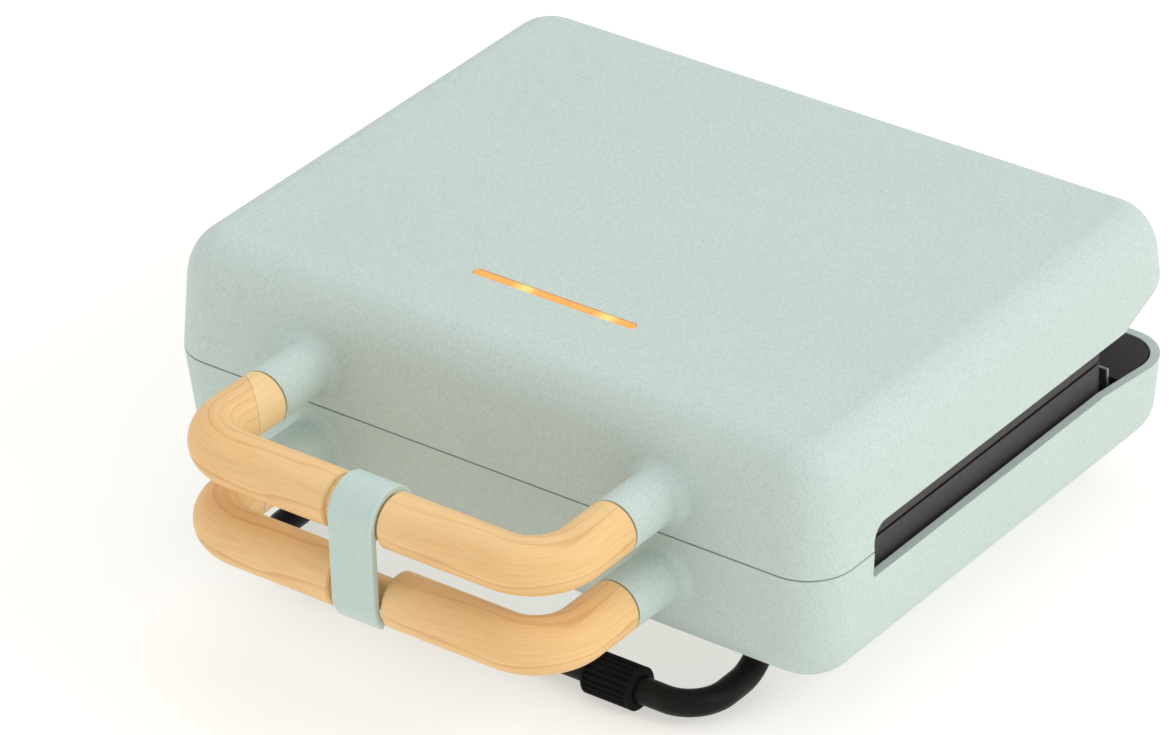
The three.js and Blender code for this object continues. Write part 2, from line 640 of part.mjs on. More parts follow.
function carrier(direction) {
  const edge = PLATE_SIDE - CARRIER.lip;
  const { front, rear } = PLATE_CORNER;
  const outline = roundedPlan(-edge, edge, PLATE_FRONT + CARRIER.lip, PLATE_REAR, front, rear);
  const opening = roundedPlan(-OPENING_SIDE, OPENING_SIDE, OPENING_FRONT, OPENING_REAR, 6);
  const [low, high] = depthSpan(direction, CARRIER_DEPTH, CARRIER_BACK);
  let frame = cut(slab(outline, low, high), slab(opening, low - 1, high + 1));
  for (const [x, y] of [...PLATE_POST_PLACES, ...POST_PLACES]) {
    frame = cut(frame, bar(SCREW.hole, low - 1, high + 1, 'z', [x, y, 0], SCREW_ROUND));
  }
  return frame;
}

function heatingElement(direction) {
  const { tail } = ELEMENT_LOOP;
  const side = OPENING_SIDE - ELEMENT_LOOP.sideInset;
  const front = OPENING_FRONT + ELEMENT_LOOP.inset;
  const rear = OPENING_REAR - ELEMENT_LOOP.inset;
  const level = SEAM_Z + direction * ELEMENT_DEPTH;
  const end = SEAM_Z + direction * (REFLECTOR_BACK + 4);
  return bentTube(ELEMENT_RADIUS, [
    [-tail, rear, end],
    [-tail, rear, level],
    [-side, rear, level],
    [-side, front, level],
    [side, front, level],
    [side, rear, level],
    [tail, rear, level],
    [tail, rear, end],
  ], ELEMENT_RADIUS + 0.4, 6, 2);
}

function reflector(direction) {
  const [low, high] = depthSpan(direction, REFLECTOR_DEPTH, REFLECTOR_BACK);
  const side = OPENING_SIDE + REFLECTOR.overlap;
  const front = OPENING_FRONT - REFLECTOR.overlap;
  const rear = OPENING_REAR + REFLECTOR.overlap;
  const outline = roundedPlan(-side, side, front, rear, 6);
  let sheet = slab(outline, low, high, 1);
  for (const end of [-1, 1]) {
    const centre = [end * ELEMENT_LOOP.tail, OPENING_REAR - ELEMENT_LOOP.inset, 0];
    sheet = cut(sheet, bar(ELEMENT_RADIUS + 1, low - 1, high + 1, 'z', centre));
  }
  return sheet;
}

function thermostat(direction) {
  const { x, radius, height, tab } = THERMOSTAT;
  const y = PLATE_MIDDLE;
  const seat = REFLECTOR_BACK + GAP;
  const can = bar(radius, ...depthSpan(direction, seat, seat + height), 'z', [x, y, 0], ROUND);
  const strap = box([x - tab, x + tab], [y - 3, y + 3], depthSpan(direction, seat, seat + 1));
  return join(can, strap);
}

// ---------------------------------------------------------------- hinge

// A plate in the (y, z) plane with a round end about the hinge axis.
function hingeProfile(radius, farZ, boreRadius) {
  const shape = new THREE.Shape();
  const up = farZ > 0;
  shape.moveTo(HINGE_Y - radius, SEAM_Z + farZ);
  shape.lineTo(HINGE_Y - radius, SEAM_Z);
  shape.absarc(HINGE_Y, SEAM_Z, radius, Math.PI, 0, !up);
  shape.lineTo(HINGE_Y + radius, SEAM_Z + farZ);
  const bore = new THREE.Path();
  bore.absarc(HINGE_Y, SEAM_Z, boreRadius, 0, 2 * Math.PI);
  shape.holes.push(bore);
  return shape;
}

function hingeArm(side) {
  const x = side * HINGE_X;
  const half = HINGE_ARM_WIDTH / 2;
  const profile = hingeProfile(HINGE_KNUCKLE, HINGE_ARM_HEIGHT, HINGE_BORE);
  return crossSlab(profile, x - half, x + half, 5);
}

function hingeBracket(side) {
  const x = side * HINGE_X;
  const outer = HINGE_OUTER_EAR;
  const inner = outer - HINGE_EAR;
  const profile = hingeProfile(HINGE_KNUCKLE, -HINGE_BRACKET_DEPTH, HINGE_BORE);
  const ears = [-1, 1].map((end) => {
    const ends = [x + end * inner, x + end * outer];
    return crossSlab(profile, Math.min(...ends), Math.max(...ends), 5);
  });
  const foot = SEAM_Z - HINGE_BRACKET_DEPTH;
  const reach = HINGE_KNUCKLE;
  const web = box([x - outer, x + outer], [HINGE_Y - reach, HINGE_Y + reach], [foot, foot + HINGE_EAR]);
  return join(...ears, web);
}

function hingePin(side) {
  const x = side * HINGE_X;
  const half = HINGE_OUTER_EAR + GAP;
  return turned([
    [-half - 1.5, 0],
    [-half - 1.5, HINGE_PIN_RADIUS + 1.2],
    [-half, HINGE_PIN_RADIUS + 1.2],
    [-half, HINGE_PIN_RADIUS],
    [half + 1, HINGE_PIN_RADIUS],
    [half + 1, 0],
  ], 'x', [x, HINGE_Y, SEAM_Z], SMALL_ROUND);
}

// A flat cover behind a plate, at a depth from the seam, with a notch round each hinge.
function rearCover(depth, gap, direction, notchHalf) {
  const inset = WALL + DRAFT * (depth + COVER_THICK) + PLATE_CLEARANCE;
  const side = BODY_SIDE - inset;
  const [low, high] = depthSpan(direction, depth, depth + COVER_THICK);
  const outline = roundedPlan(-side, side, PLATE_REAR + gap, BODY_REAR - inset, 2, COVER_CORNER);
  let sheet = slab(outline, low, high, 3);
  for (const [, hand] of SIDES) {
    const x = hand * HINGE_X;
    const reach = HINGE_KNUCKLE + 2 * GAP;
    const notch = box([x - notchHalf, x + notchHalf], [HINGE_Y - reach, HINGE_Y + reach],
      [low - 1, high + 1]);
    sheet = cut(sheet, notch);
  }
  return sheet;
}

// A pressed angle that holds each rear corner of the lower plate to the carrier.
function plateBracket(side) {
  const x = side * (PLATE_SIDE - 5);
  const y = PLATE_REAR + GAP;
  const foot = SEAM_Z - CARRIER_BACK - GAP;
  return join(
    box([x - 4, x + 4], [y, y + 1.2], [foot - 1.2, SEAM_Z - 6]),
    box([x - 4, x + 4], [y - 8, y + 1.2], [foot - 1.2, foot]),
  );
}

// ---------------------------------------------------------------- stand

function footBar(end) {
  const top = FLOOR_Z + FOOT_SOCKET_DEPTH - GAP;
  const legY = end * FOOT_LEG_Y;
  const barY = end * FOOT_BAR_Y;
  return bentTube(FOOT_BAR_RADIUS, [
    [-FOOT_BAR_X, legY, top],
    [-FOOT_BAR_X, legY, FOOT_BAR_Z],
    [-FOOT_BAR_X, barY, FOOT_BAR_Z],
    [FOOT_BAR_X, barY, FOOT_BAR_Z],
    [FOOT_BAR_X, legY, FOOT_BAR_Z],
    [FOOT_BAR_X, legY, top],
  ], FOOT_BEND, SMALL_ROUND, 4);
}

// A ribbed rubber sleeve with a flat underside and a bore that grips the bar.
function footSleeve(side, end) {
  const ribs = new THREE.Shape();
  for (let i = 0; i < 2 * FOOT_SLEEVE.ribs; i += 1) {
    const turn = (i * Math.PI) / FOOT_SLEEVE.ribs;
    const radius = FOOT_SLEEVE.radius - (i % 2) * FOOT_SLEEVE.rib;
    const place = [radius * Math.cos(turn), radius * Math.sin(turn)];
    if (i === 0) ribs.moveTo(...place);
    else ribs.lineTo(...place);
  }
  const bore = new THREE.Path();
  bore.absarc(0, 0, FOOT_BAR_RADIUS + GAP, 0, 2 * Math.PI);
  ribs.holes.push(bore);
  const geometry = new THREE.ExtrudeGeometry(ribs, {
    depth: FOOT_SLEEVE.length, bevelEnabled: false, curveSegments: SMALL_ROUND / 2,
  });
  const x = side * FOOT_SLEEVE_X;
  const y = end * FOOT_BAR_Y;
  geometry.rotateX(Math.PI / 2).rotateZ(Math.PI / 2);
  geometry.translate(x - FOOT_SLEEVE.length / 2, y, FOOT_BAR_Z);
  const { length, radius } = FOOT_SLEEVE;
  const below = box([x - length, x + length], [y - 2 * radius, y + 2 * radius], [-5, 0]);
  return cut(solid(geometry), below);
}

// ---------------------------------------------------------------- light bar and electrics

function lightBarLens() {
  const grow = LIGHT_BAR.flange;
  const flangeTop = TOP_Z - WALL - GAP;
  return join(
    slab(lightBarPlan(0), flangeTop - 0.5, TOP_Z),
    slab(lightBarPlan(grow), flangeTop - LIGHT_BAR.flangeThick, flangeTop),
  );
}

function indicatorBoard() {
  const half = BOARD.width / 2;
  return box([-BOARD_HALF_LENGTH, BOARD_HALF_LENGTH], [LIGHT_BAR_Y - half, LIGHT_BAR_Y + half],
    [BOARD_Z, BOARD_Z + BOARD.thick]);
}

function lamp(x) {
  const seat = BOARD_Z + BOARD.thick + GAP;
  const tip = seat + LAMP.height - GAP;
  return turned([
    [seat, 0],
    [seat, LAMP.radius + 0.5],
    [seat + 1, LAMP.radius + 0.5],
    [seat + 1, LAMP.radius],
    [tip - 1.5, LAMP.radius],
    [tip - 0.5, LAMP.radius * 0.6],
    [tip, 0],
  ], 'z', [x, LIGHT_BAR_Y, 0], SMALL_ROUND);
}

function cordGland() {
  const z = SEAM_Z - GLAND.depth;
  const outside = BODY_REAR;
  const inside = outside - 2 * WALL - GLAND.depth * DRAFT;
  return turned([
    [inside, GLAND.bore],
    [inside, GLAND.radius],
    [outside, GLAND.radius],
    [outside, GLAND.flange],
    [outside + 2, GLAND.flange],
    [outside + GLAND.reach, GLAND.radius - 1],
    [outside + GLAND.reach, GLAND.bore],
    [inside, GLAND.bore],
  ], 'y', [GLAND.x, 0, z], SMALL_ROUND);
}

function terminalBlock() {
  const { width, depth, height } = TERMINAL;
  const x = (GLAND.x + HINGE_X - HINGE_OUTER_EAR) / 2;
  const y = BODY_REAR - TERMINAL.setback;
  let block = box([x - width / 2, x + width / 2], [y - depth / 2, y + depth / 2],
    [FLOOR_Z + GAP, FLOOR_Z + GAP + height]);
  for (const step of [-1, 0, 1]) {
    const centre = [x + step * (width / 3.4), 0, FLOOR_Z + GAP + height * 0.6];
    block = cut(block, bar(1.8, y - depth, y + depth, 'y', centre, SCREW_ROUND));
  }
  return block;
}

function thermalFuse() {
  const z = SEAM_Z - REFLECTOR_BACK - GAP - FUSE.radius;
  const half = FUSE.length / 2;
  return turned([
    [-half, 0],
    [-half, 0.8],
    [-half / 2, 0.8],
    [-half / 2, FUSE.radius],
    [half / 2, FUSE.radius],
    [half / 2, 0.8],
    [half, 0.8],
    [half, 0],
  ], 'x', [FUSE.x, PLATE_MIDDLE, z], SMALL_ROUND);
}

// ---------------------------------------------------------------- assembly

const FINISH = {
  mint: { color: 0xc3d1ca, roughness: 0.6, metalness: 0 },
  latch: { color: 0xc0d5cd, roughness: 0.55, metalness: 0 },
  wood: { color: 0xe3bf8a, roughness: 0.5, metalness: 0 },
  plate: { color: 0x4b4443, roughness: 0.5, metalness: 0.2 },
  blackPlastic: { color: 0x2a2826, roughness: 0.6, metalness: 0 },
  blackPaint: { color: 0x1c1c19, roughness: 0.4, metalness: 0.3 },
  rubber: { color: 0x121110, roughness: 0.85, metalness: 0 },
  amber: { color: 0xf79b45, roughness: 0.3, metalness: 0 },
  steel: { color: 0xb9bbbd, roughness: 0.35, metalness: 0.9 },
  board: { color: 0x2f6b46, roughness: 0.6, metalness: 0 },
  ceramic: { color: 0xe8e4dc, roughness: 0.5, metalness: 0 },
  element: { color: 0x5c5f60, roughness: 0.5, metalness: 0.8 },
};

const donutMaker = new THREE.Group();
donutMaker.position.y = (FRONT_REACH - REAR_REACH) / 2;

function addPiece(name, finish, manifold) {
  const mesh = new THREE.Mesh(surface(manifold), new THREE.MeshStandardMaterial(FINISH[finish]));
  mesh.name = name;
  donutMaker.add(mesh);
}

// Lid
addPiece('lid_shell', 'mint', lidShell());
addPiece('light_bar_lens', 'amber', lightBarLens());
addPiece('indicator_board', 'board', indicatorBoard());
addPiece('power_lamp', 'amber', lamp(LAMP.powerX));
addPiece('ready_lamp', 'amber', lamp(LAMP.readyX));
addPiece('upper_handle', 'wood', handle(UPPER_HANDLE_Z, UPPER_NECK_RADIUS));
addPiece('lid_rear_cover', 'blackPlastic',
  rearCover(REAR_COVER.rise, REAR_COVER.gap, 1, HINGE_ARM_WIDTH / 2 + GAP));

// Base
addPiece('base_shell', 'mint', baseShell());
addPiece('lower_handle', 'wood', handle(LOWER_HANDLE_Z, LOWER_NECK_RADIUS));
addPiece('hinge_cover', 'blackPlastic',
  rearCover(HINGE_COVER.depth, HINGE_COVER.gap, -1, HINGE_OUTER_EAR + GAP));
addPiece('thermal_fuse', 'ceramic', thermalFuse());
addPiece('terminal_block', 'ceramic', terminalBlock());
addPiece('cord_gland', 'blackPlastic', cordGland());

// Latch
addPiece('latch_clip', 'latch', latch());

// Plate, heater and controls of each half
for (const [half, direction] of [['upper', 1], ['lower', -1]]) {
  addPiece(`${half}_cooking_plate`, 'plate', cookingPlate(direction));
  addPiece(`${half}_carrier`, 'blackPlastic', carrier(direction));
  addPiece(`${half}_heating_element`, 'element', heatingElement(direction));
  addPiece(`${half}_reflector`, 'steel', reflector(direction));
  addPiece(`${half}_thermostat`, 'ceramic', thermostat(direction));
  const seat = SEAM_Z + direction * (CARRIER_BACK + GAP);
  const tip = SEAM_Z + direction * (FACE_DEPTH + PLATE_DECK + 2);
  PLATE_POST_PLACES.forEach(([x, y], i) => {
    addPiece(`${half}_plate_screw_${i + 1}`, 'steel', screw(seat, tip, 'z', [x, y, 0]));
  });
}

// Screws that hold the carriers to the shells
POST_PLACES.forEach(([x, y], i) => {
  const upperTip = SEAM_Z + CARRIER_BACK + LID_SCREW_REACH;
  addPiece(`lid_screw_${i + 1}`, 'steel', screw(SEAM_Z + CARRIER_DEPTH - GAP, upperTip, 'z', [x, y, 0]));
  const lowerTip = SEAM_Z - CARRIER_DEPTH - GAP;
  addPiece(`base_screw_${i + 1}`, 'steel', screw(SCREW_SEAT_Z - GAP, lowerTip, 'z', [x, y, 0]));
});

// Paired pieces
for (const [name, side] of SIDES) {
  addPiece(`hinge_arm_${name}`, 'steel', hingeArm(side));
  addPiece(`hinge_bracket_${name}`, 'steel', hingeBracket(side));
  addPiece(`hinge_pin_${name}`, 'steel', hingePin(side));
  addPiece(`plate_bracket_${name}`, 'steel', plateBracket(side));
  for (const [half, z] of [['upper', UPPER_HANDLE_Z], ['lower', LOWER_HANDLE_Z]]) {
    const seat = HANDLE_SCREW_SEAT + GAP;
    const tip = TENON_END - HANDLE_SCREW_LENGTH + 2;
    addPiece(`${half}_handle_screw_${name}`, 'steel', screw(seat, tip, 'y', [side * HANDLE_X, 0, z]));
  }
  for (const [where, end] of [['front', -1], ['rear', 1]]) {
    addPiece(`${where}_foot_sleeve_${name}`, 'rubber', footSleeve(side, end));
  }
}
addPiece('front_foot_bar', 'blackPaint', footBar(-1));
addPiece('rear_foot_bar', 'blackPaint', footBar(1));

export default donutMaker;
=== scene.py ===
"""A small donut maker that stands on a kitchen worktop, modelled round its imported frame.

Two mint shells close on two non-stick plates. Each shell carries a bent maple handle, a clip
on the upper handle holds the lower one, and two bent tubes with rubber sleeves lift the base.
Sizes are in millimetres about the middle of the body, with the table at z = 0, and Layout.at
turns them into metres in the frame.
"""

import json
import logging
import math
from collections.abc import Callable, Iterator, Sequence
from contextlib import contextmanager
from dataclasses import dataclass
from enum import Enum
from typing import Any

import bmesh
import bpy
from mathutils import Matrix, Vector

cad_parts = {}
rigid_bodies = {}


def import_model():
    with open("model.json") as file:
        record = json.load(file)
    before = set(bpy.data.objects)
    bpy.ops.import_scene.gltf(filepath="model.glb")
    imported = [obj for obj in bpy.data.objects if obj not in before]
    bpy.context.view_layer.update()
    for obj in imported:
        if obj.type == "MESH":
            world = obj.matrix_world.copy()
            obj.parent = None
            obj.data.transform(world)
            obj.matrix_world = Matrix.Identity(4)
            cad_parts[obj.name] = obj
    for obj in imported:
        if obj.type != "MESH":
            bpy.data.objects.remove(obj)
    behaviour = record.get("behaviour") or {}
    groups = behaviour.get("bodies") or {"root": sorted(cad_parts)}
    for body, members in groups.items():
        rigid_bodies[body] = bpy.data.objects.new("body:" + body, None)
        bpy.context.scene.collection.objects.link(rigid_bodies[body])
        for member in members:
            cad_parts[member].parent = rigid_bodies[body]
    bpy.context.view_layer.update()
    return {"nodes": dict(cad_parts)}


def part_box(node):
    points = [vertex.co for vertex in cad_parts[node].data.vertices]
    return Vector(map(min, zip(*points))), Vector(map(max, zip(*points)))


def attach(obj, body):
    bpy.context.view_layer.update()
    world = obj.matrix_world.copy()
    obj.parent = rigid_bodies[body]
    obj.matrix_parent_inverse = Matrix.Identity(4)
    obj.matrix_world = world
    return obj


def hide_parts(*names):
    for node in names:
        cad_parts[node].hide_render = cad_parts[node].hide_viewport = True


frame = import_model()

MM = 0.001
LOG = logging.getLogger("donut_maker")
Point = tuple[float, float, float]


class Body(Enum):
    """The bodies of the frame that a piece can ride on."""

    BASE = "base"
    LID = "lid"
    LATCH = "latch"


class Half(Enum):
    """The two halves of the appliance, with the way each one faces from the seam."""

    UPPER = 1
    LOWER = -1

    @property
    def body(self) -> Body:
        """The body that the half's pieces ride on."""
        return Body.LID if self is Half.UPPER else Body.BASE

    @property
    def word(self) -> str:
        """The half's word in node names."""
        return self.name.lower()


class Axis(Enum):
    """A main axis, with the turn that lays a disc square to it."""

    X = (0.0, math.pi / 2, 0.0)
    Y = (-math.pi / 2, 0.0, 0.0)
    Z = (0.0, 0.0, 0.0)


SIDES = (("left", -1), ("right", 1))
ON_PLANE = 1e-5  # Metres within which a corner counts as lying on a plane.
FACING = 0.9  # Least cosine at which a face or an edge counts as lying along an axis.
TOOL_REACH = 5.0  # Millimetres that a cutting tool runs past what it cuts.


@dataclass(frozen=True)
class Layout:
    """Sizes that several sub-assemblies share, in millimetres."""

    width: float = 250.0
    depth: float = 195.3
    lid_height: float = 40.2
    base_height: float = 40.6
    stand_height: float = 18.9
    seam: float = 0.6
    wall: float = 3.0
    draft: float = 0.07
    corner: float = 15.7
    gap: float = 0.3
    handle_radius: float = 8.9
    handle_x: float = 65.8
    handle_reach: float = 54.7
    upper_handle_gap: float = 4.4
    lower_handle_gap: float = 5.4
    sleeve_length: float = 21.7
    tenon_radius: float = 6.0
    tenon_length: float = 15.0
    latch_width: float = 16.4
    latch_offset: float = 1.2
    neck_gap: float = 0.6
    upper_neck_depth: float = 1.4
    lower_neck_depth: float = 3.9
    plate_clearance: float = 0.65
    plate_rear_setback: float = 35.2
    plate_face: float = 0.5
    skirt_depth: float = 14.5
    hinge_side_inset: float = 53.0
    hinge_setback: float = 12.65
    hinge_arm_width: float = 11.0
    hinge_ear: float = 2.0
    hinge_knuckle: float = 6.4
    hinge_pin_radius: float = 3.0
    light_bar_setback: float = 38.2
    foot_bar_radius: float = 4.3
    foot_leg_inset: float = 25.7
    foot_bar_inset: float = 40.0

    @property
    def front(self) -> float:
        """Front face of the body."""
        return -self.depth / 2

    @property
    def rear(self) -> float:
        """Rear face of the body."""
        return self.depth / 2

    @property
    def side(self) -> float:
        """Right face of the body."""
        return self.width / 2

    @property
    def seam_z(self) -> float:
        """Height of the seam above the table."""
        return self.stand_height + self.base_height

    @property
    def top_z(self) -> float:
        """Height of the top of the lid."""
        return self.seam_z + self.lid_height

    @property
    def handle_y(self) -> float:
        """Axis of each handle's bar."""
        return self.front - self.handle_reach

    @property
    def sleeve_end(self) -> float:
        """Front end of each handle sleeve."""
        return self.front - self.sleeve_length

    @property
    def plate_inset(self) -> float:
        """How far a plate's edge lies inside the body's faces."""
        return self.wall + self.draft * (self.plate_face + self.skirt_depth) + self.plate_clearance

    @property
    def plate_front(self) -> float:
        """Front edge of each plate."""
        return self.front + self.plate_inset

    @property
    def plate_rear(self) -> float:
        """Rear edge of each plate."""
        return self.rear - self.plate_rear_setback

    @property
    def plate_side(self) -> float:
        """Right edge of each plate."""
        return self.side - self.plate_inset

    @property
    def hinge_x(self) -> float:
        """Distance of each hinge from the middle."""
        return self.side - self.hinge_side_inset

    @property
    def hinge_y(self) -> float:
        """Place of the hinge axis."""
        return self.rear - self.hinge_setback

    @property
    def hinge_outer(self) -> float:
        """Half the width of a hinge bracket."""
        return self.hinge_arm_width / 2 + self.gap + self.hinge_ear

    @property
    def light_bar_y(self) -> float:
        """Middle of the light bar."""
        return self.front + self.light_bar_setback

    def handle_z(self, half: Half) -> float:
        """Height of a handle's axis.

        Args:
            half: The half that carries the handle.

        Returns:
            The height in millimetres.
        """
        if half is Half.UPPER:
            return self.seam_z + self.handle_radius + self.upper_handle_gap
        return self.seam_z - self.handle_radius - self.lower_handle_gap

    def neck_radius(self, half: Half) -> float:
        """Radius of a handle where the latch goes round it.

        Args:
            half: The half that carries the handle.

        Returns:
            The radius in millimetres.
        """
        depth = self.upper_neck_depth if half is Half.UPPER else self.lower_neck_depth
        return self.handle_radius - depth

    def at(self, x: float, y: float, z: float) -> Vector:
        """Turns a place on the body into the frame's metres.

        Args:
            x: Place across, from the middle of the body.
            y: Place in depth, from the middle of the body.
            z: Height above the table.

        Returns:
            The point in metres.
        """
        return Vector((x * MM, y * MM + MIDDLE_Y, z * MM))


def stand_middle() -> float:
    """Finds the middle of the body in depth, halfway between the two foot bars.

    Returns:
        The frame's y of the middle, in metres.
    """
    front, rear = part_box("front_foot_bar"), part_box("rear_foot_bar")
    return (front[0][1] + rear[1][1]) / 2


MIDDLE_Y = stand_middle()
LAYOUT = Layout()


# ---------------------------------------------------------------------------- the bench


def only(obj: bpy.types.Object) -> None:
    """Selects one object alone and makes it active.

    Args:
        obj: The object to work on.
    """
    for other in bpy.context.view_layer.objects:
        other.select_set(other is obj)
    bpy.context.view_layer.objects.active = obj


def nothing_selected() -> None:
    """Deselects every object, so that an operator acts on a new primitive only."""
    for other in bpy.context.view_layer.objects:
        other.select_set(False)


def direction(edge: bmesh.types.BMEdge) -> Vector:
    """Gives the way an edge runs.

    Args:
        edge: The edge.

    Returns:
        Its unit direction.
    """
    return (edge.verts[1].co - edge.verts[0].co).normalized()


def middle(edge: bmesh.types.BMEdge) -> Vector:
    """Gives the middle of an edge.

    Args:
        edge: The edge.

    Returns:
        Its midpoint.
    """
    return (edge.verts[0].co + edge.verts[1].co) / 2


class Workpiece:
    """One mesh on the bench, started from a primitive and shaped in edit mode."""

    def __init__(self, obj: bpy.types.Object) -> None:
        """Takes over an object.

        Args:
            obj: The object to shape.
        """
        self.obj = obj

    @classmethod
    def settle(cls, name: str) -> "Workpiece":
        """Names the primitive that was just added and puts its place into its mesh.

        Args:
            name: Name of the piece.

        Returns:
            The workpiece.
        """
        obj = bpy.context.active_object
        obj.name = name
        obj.data.name = name
        bpy.ops.object.transform_apply(location=True, rotation=True, scale=True)
        return cls(obj)

    @classmethod
    def block(cls, name: str, low: Point, high: Point) -> "Workpiece":
        """Adds a block between two corners.

        Args:
            name: Name of the piece.
            low: Lowest corner, in millimetres on the body.
            high: Highest corner.

        Returns:
            The workpiece.
        """
        nothing_selected()
        a, b = LAYOUT.at(*low), LAYOUT.at(*high)
        bpy.ops.mesh.primitive_cube_add(size=1, location=(a + b) / 2, scale=b - a)
        return cls.settle(name)

    @classmethod
    def disc(cls, name: str, centre: Point, radius: float, axis: Axis,
             sides: int = 48) -> "Workpiece":
        """Adds a filled disc square to an axis.

        Args:
            name: Name of the piece.
            centre: Middle of the disc, in millimetres on the body.
            radius: Radius in millimetres.
            axis: Axis the disc is square to.
            sides: Number of corners.

        Returns:
            The workpiece.
        """
        nothing_selected()
        bpy.ops.mesh.primitive_circle_add(
            vertices=sides, radius=radius * MM, fill_type="NGON",
            location=LAYOUT.at(*centre), rotation=axis.value)
        return cls.settle(name)

    @classmethod
    def torus(cls, name: str, centre: Point, ring: float, section: float) -> "Workpiece":
        """Adds a ring that lies flat.

        Args:
            name: Name of the piece.
            centre: Middle of the ring, in millimetres on the body.
            ring: Radius to the middle of the section.
            section: Radius of the section.

        Returns:
            The workpiece.
        """
        nothing_selected()
        bpy.ops.mesh.primitive_torus_add(
            major_segments=56, minor_segments=28, major_radius=ring * MM,
            minor_radius=section * MM, location=LAYOUT.at(*centre))
        return cls.settle(name)

    @classmethod
    def rod(cls, name: str, centre: Point, radius: float, axis: Axis, length: float,
            sides: int = 32) -> "Workpiece":
        """Adds a round rod, as a disc extruded both ways from its middle.

        Args:
            name: Name of the piece.
            centre: Middle of the rod.
            radius: Radius in millimetres.
            axis: Axis of the rod.
            length: Length in millimetres.
            sides: Number of flats round it.

        Returns:
            The workpiece.
        """
        way = {Axis.X: (1, 0, 0), Axis.Y: (0, 1, 0), Axis.Z: (0, 0, 1)}[axis]
        start = tuple(c - w * length / 2 for c, w in zip(centre, way))
        piece = cls.disc(name, start, radius, axis, sides)
        with piece.editing():
            piece.pick_all()
            piece.extrude(tuple(w * length for w in way))
        piece.face_outwards()
        return piece

    @contextmanager
    def editing(self) -> Iterator[None]:
        """Opens the mesh in edit mode with nothing selected, and closes it again."""
        only(self.obj)
        bpy.ops.object.mode_set(mode="EDIT")
        bpy.ops.mesh.select_mode(type="FACE")
        bpy.ops.mesh.select_all(action="DESELECT")
        try:
            yield
        finally:
            bpy.ops.object.mode_set(mode="OBJECT")

    def pick_all(self) -> None:
        """Selects the whole mesh."""
        bpy.ops.mesh.select_all(action="SELECT")

    def pick(self, kind: str, test: Callable[[Any], bool]) -> int:
        """Selects the faces, edges or corners that pass a test, and nothing else.

        Args:
            kind: FACE, EDGE or VERT.
            test: Says whether an element is wanted.

        Returns:
            How many were selected.
        """
        bpy.ops.mesh.select_mode(type=kind)
        bpy.ops.mesh.select_all(action="DESELECT")
        mesh = bmesh.from_edit_mesh(self.obj.data)
        mesh.normal_update()
        found = {"FACE": mesh.faces, "EDGE": mesh.edges, "VERT": mesh.verts}[kind]
        wanted = [element for element in found if test(element)]
        for element in wanted:
            element.select_set(True)
        mesh.select_flush_mode()
        bmesh.update_edit_mesh(self.obj.data)
        return len(wanted)

    def extrude(self, move: Point) -> None:
        """Extrudes the selection.

        Args:
            move: How far, in millimetres.
        """
        bpy.ops.mesh.extrude_region_move(
            TRANSFORM_OT_translate={"value": tuple(m * MM for m in move)})

    def shift(self, move: Point) -> None:
        """Moves the selection.

        Args:
            move: How far, in millimetres.
        """
        bpy.ops.transform.translate(value=tuple(m * MM for m in move))

    def scale(self, factors: Point, centre: Point) -> None:
        """Scales the selection about a point.

        Args:
            factors: Factor along each axis.
            centre: The point that stays, in millimetres on the body.
        """
        bpy.ops.transform.resize(value=factors, center_override=LAYOUT.at(*centre))

    def spin(self, turn: float, centre: Vector, axis: Vector, steps: int) -> None:
        """Sweeps the selected end face round an axis, anticlockwise.

        Args:
            turn: Angle in radians.
            centre: A point on the axis, in metres.
            axis: Direction of the axis.
            steps: Number of steps.
        """
        bpy.ops.mesh.spin(steps=steps, angle=-turn, center=centre, axis=axis)

    def follow(self, corners: Sequence[Point], bend: float, steps: int) -> None:
        """Sweeps the selected end face along a route with rounded corners.

        Args:
            corners: The route, from where the face is now.
            bend: Radius of each rounded corner.
            steps: Steps round each corner.
        """
        route = [Vector(c) for c in corners]
        here = route[0]
        for i in range(1, len(route) - 1):
            into = (route[i] - route[i - 1]).normalized()
            out = (route[i + 1] - route[i]).normalized()
            turn = into.angle(out)
            start = route[i] - into * bend * math.tan(turn / 2)
            self.extrude(tuple(start - here))
            across = (out - into * out.dot(into)).normalized()
            centre = start + across * bend
            self.spin(turn, LAYOUT.at(*centre), into.cross(out).normalized(), steps)
            here = route[i] + out * bend * math.tan(turn / 2)
        self.extrude(tuple(route[-1] - here))

    def bevel(self, width: float, segments: int) -> None:
        """Rounds the selected edges.

        Args:
            width: Radius in millimetres.
            segments: Steps across the round.
        """
        bpy.ops.mesh.bevel(offset=width * MM, segments=segments, profile=0.5,
                           affect="EDGES", clamp_overlap=False)

    def face_outwards(self) -> None:
        """Merges doubled corners and points every face outwards."""
        with self.editing():
            self.pick_all()
            bpy.ops.mesh.remove_doubles(threshold=0.00001)
            bpy.ops.mesh.normals_make_consistent(inside=False)

    def modifier(self, kind: str, **settings: Any) -> None:
        """Adds a modifier and applies it.

        Args:
            kind: Blender's name for the modifier.
            **settings: Its settings.
        """
        only(self.obj)
        step = self.obj.modifiers.new(kind.lower(), kind)
        for key, value in settings.items():
            setattr(step, key, value)
        bpy.ops.object.modifier_apply(modifier=step.name)

    def _combine(self, operation: str, tools: Sequence["Workpiece"]) -> None:
        """Combines this piece with tools and throws the tools away.

        Args:
            operation: UNION or DIFFERENCE.
            tools: The pieces to combine with.
        """
        for tool in tools:
            self.modifier("BOOLEAN", operation=operation, solver="EXACT", object=tool.obj)
            bpy.data.objects.remove(tool.obj)

    def add(self, *tools: "Workpiece") -> None:
        """Joins tools to this piece."""
        self._combine("UNION", tools)

    def cut(self, *tools: "Workpiece") -> None:
        """Cuts tools out of this piece."""
        self._combine("DIFFERENCE", tools)

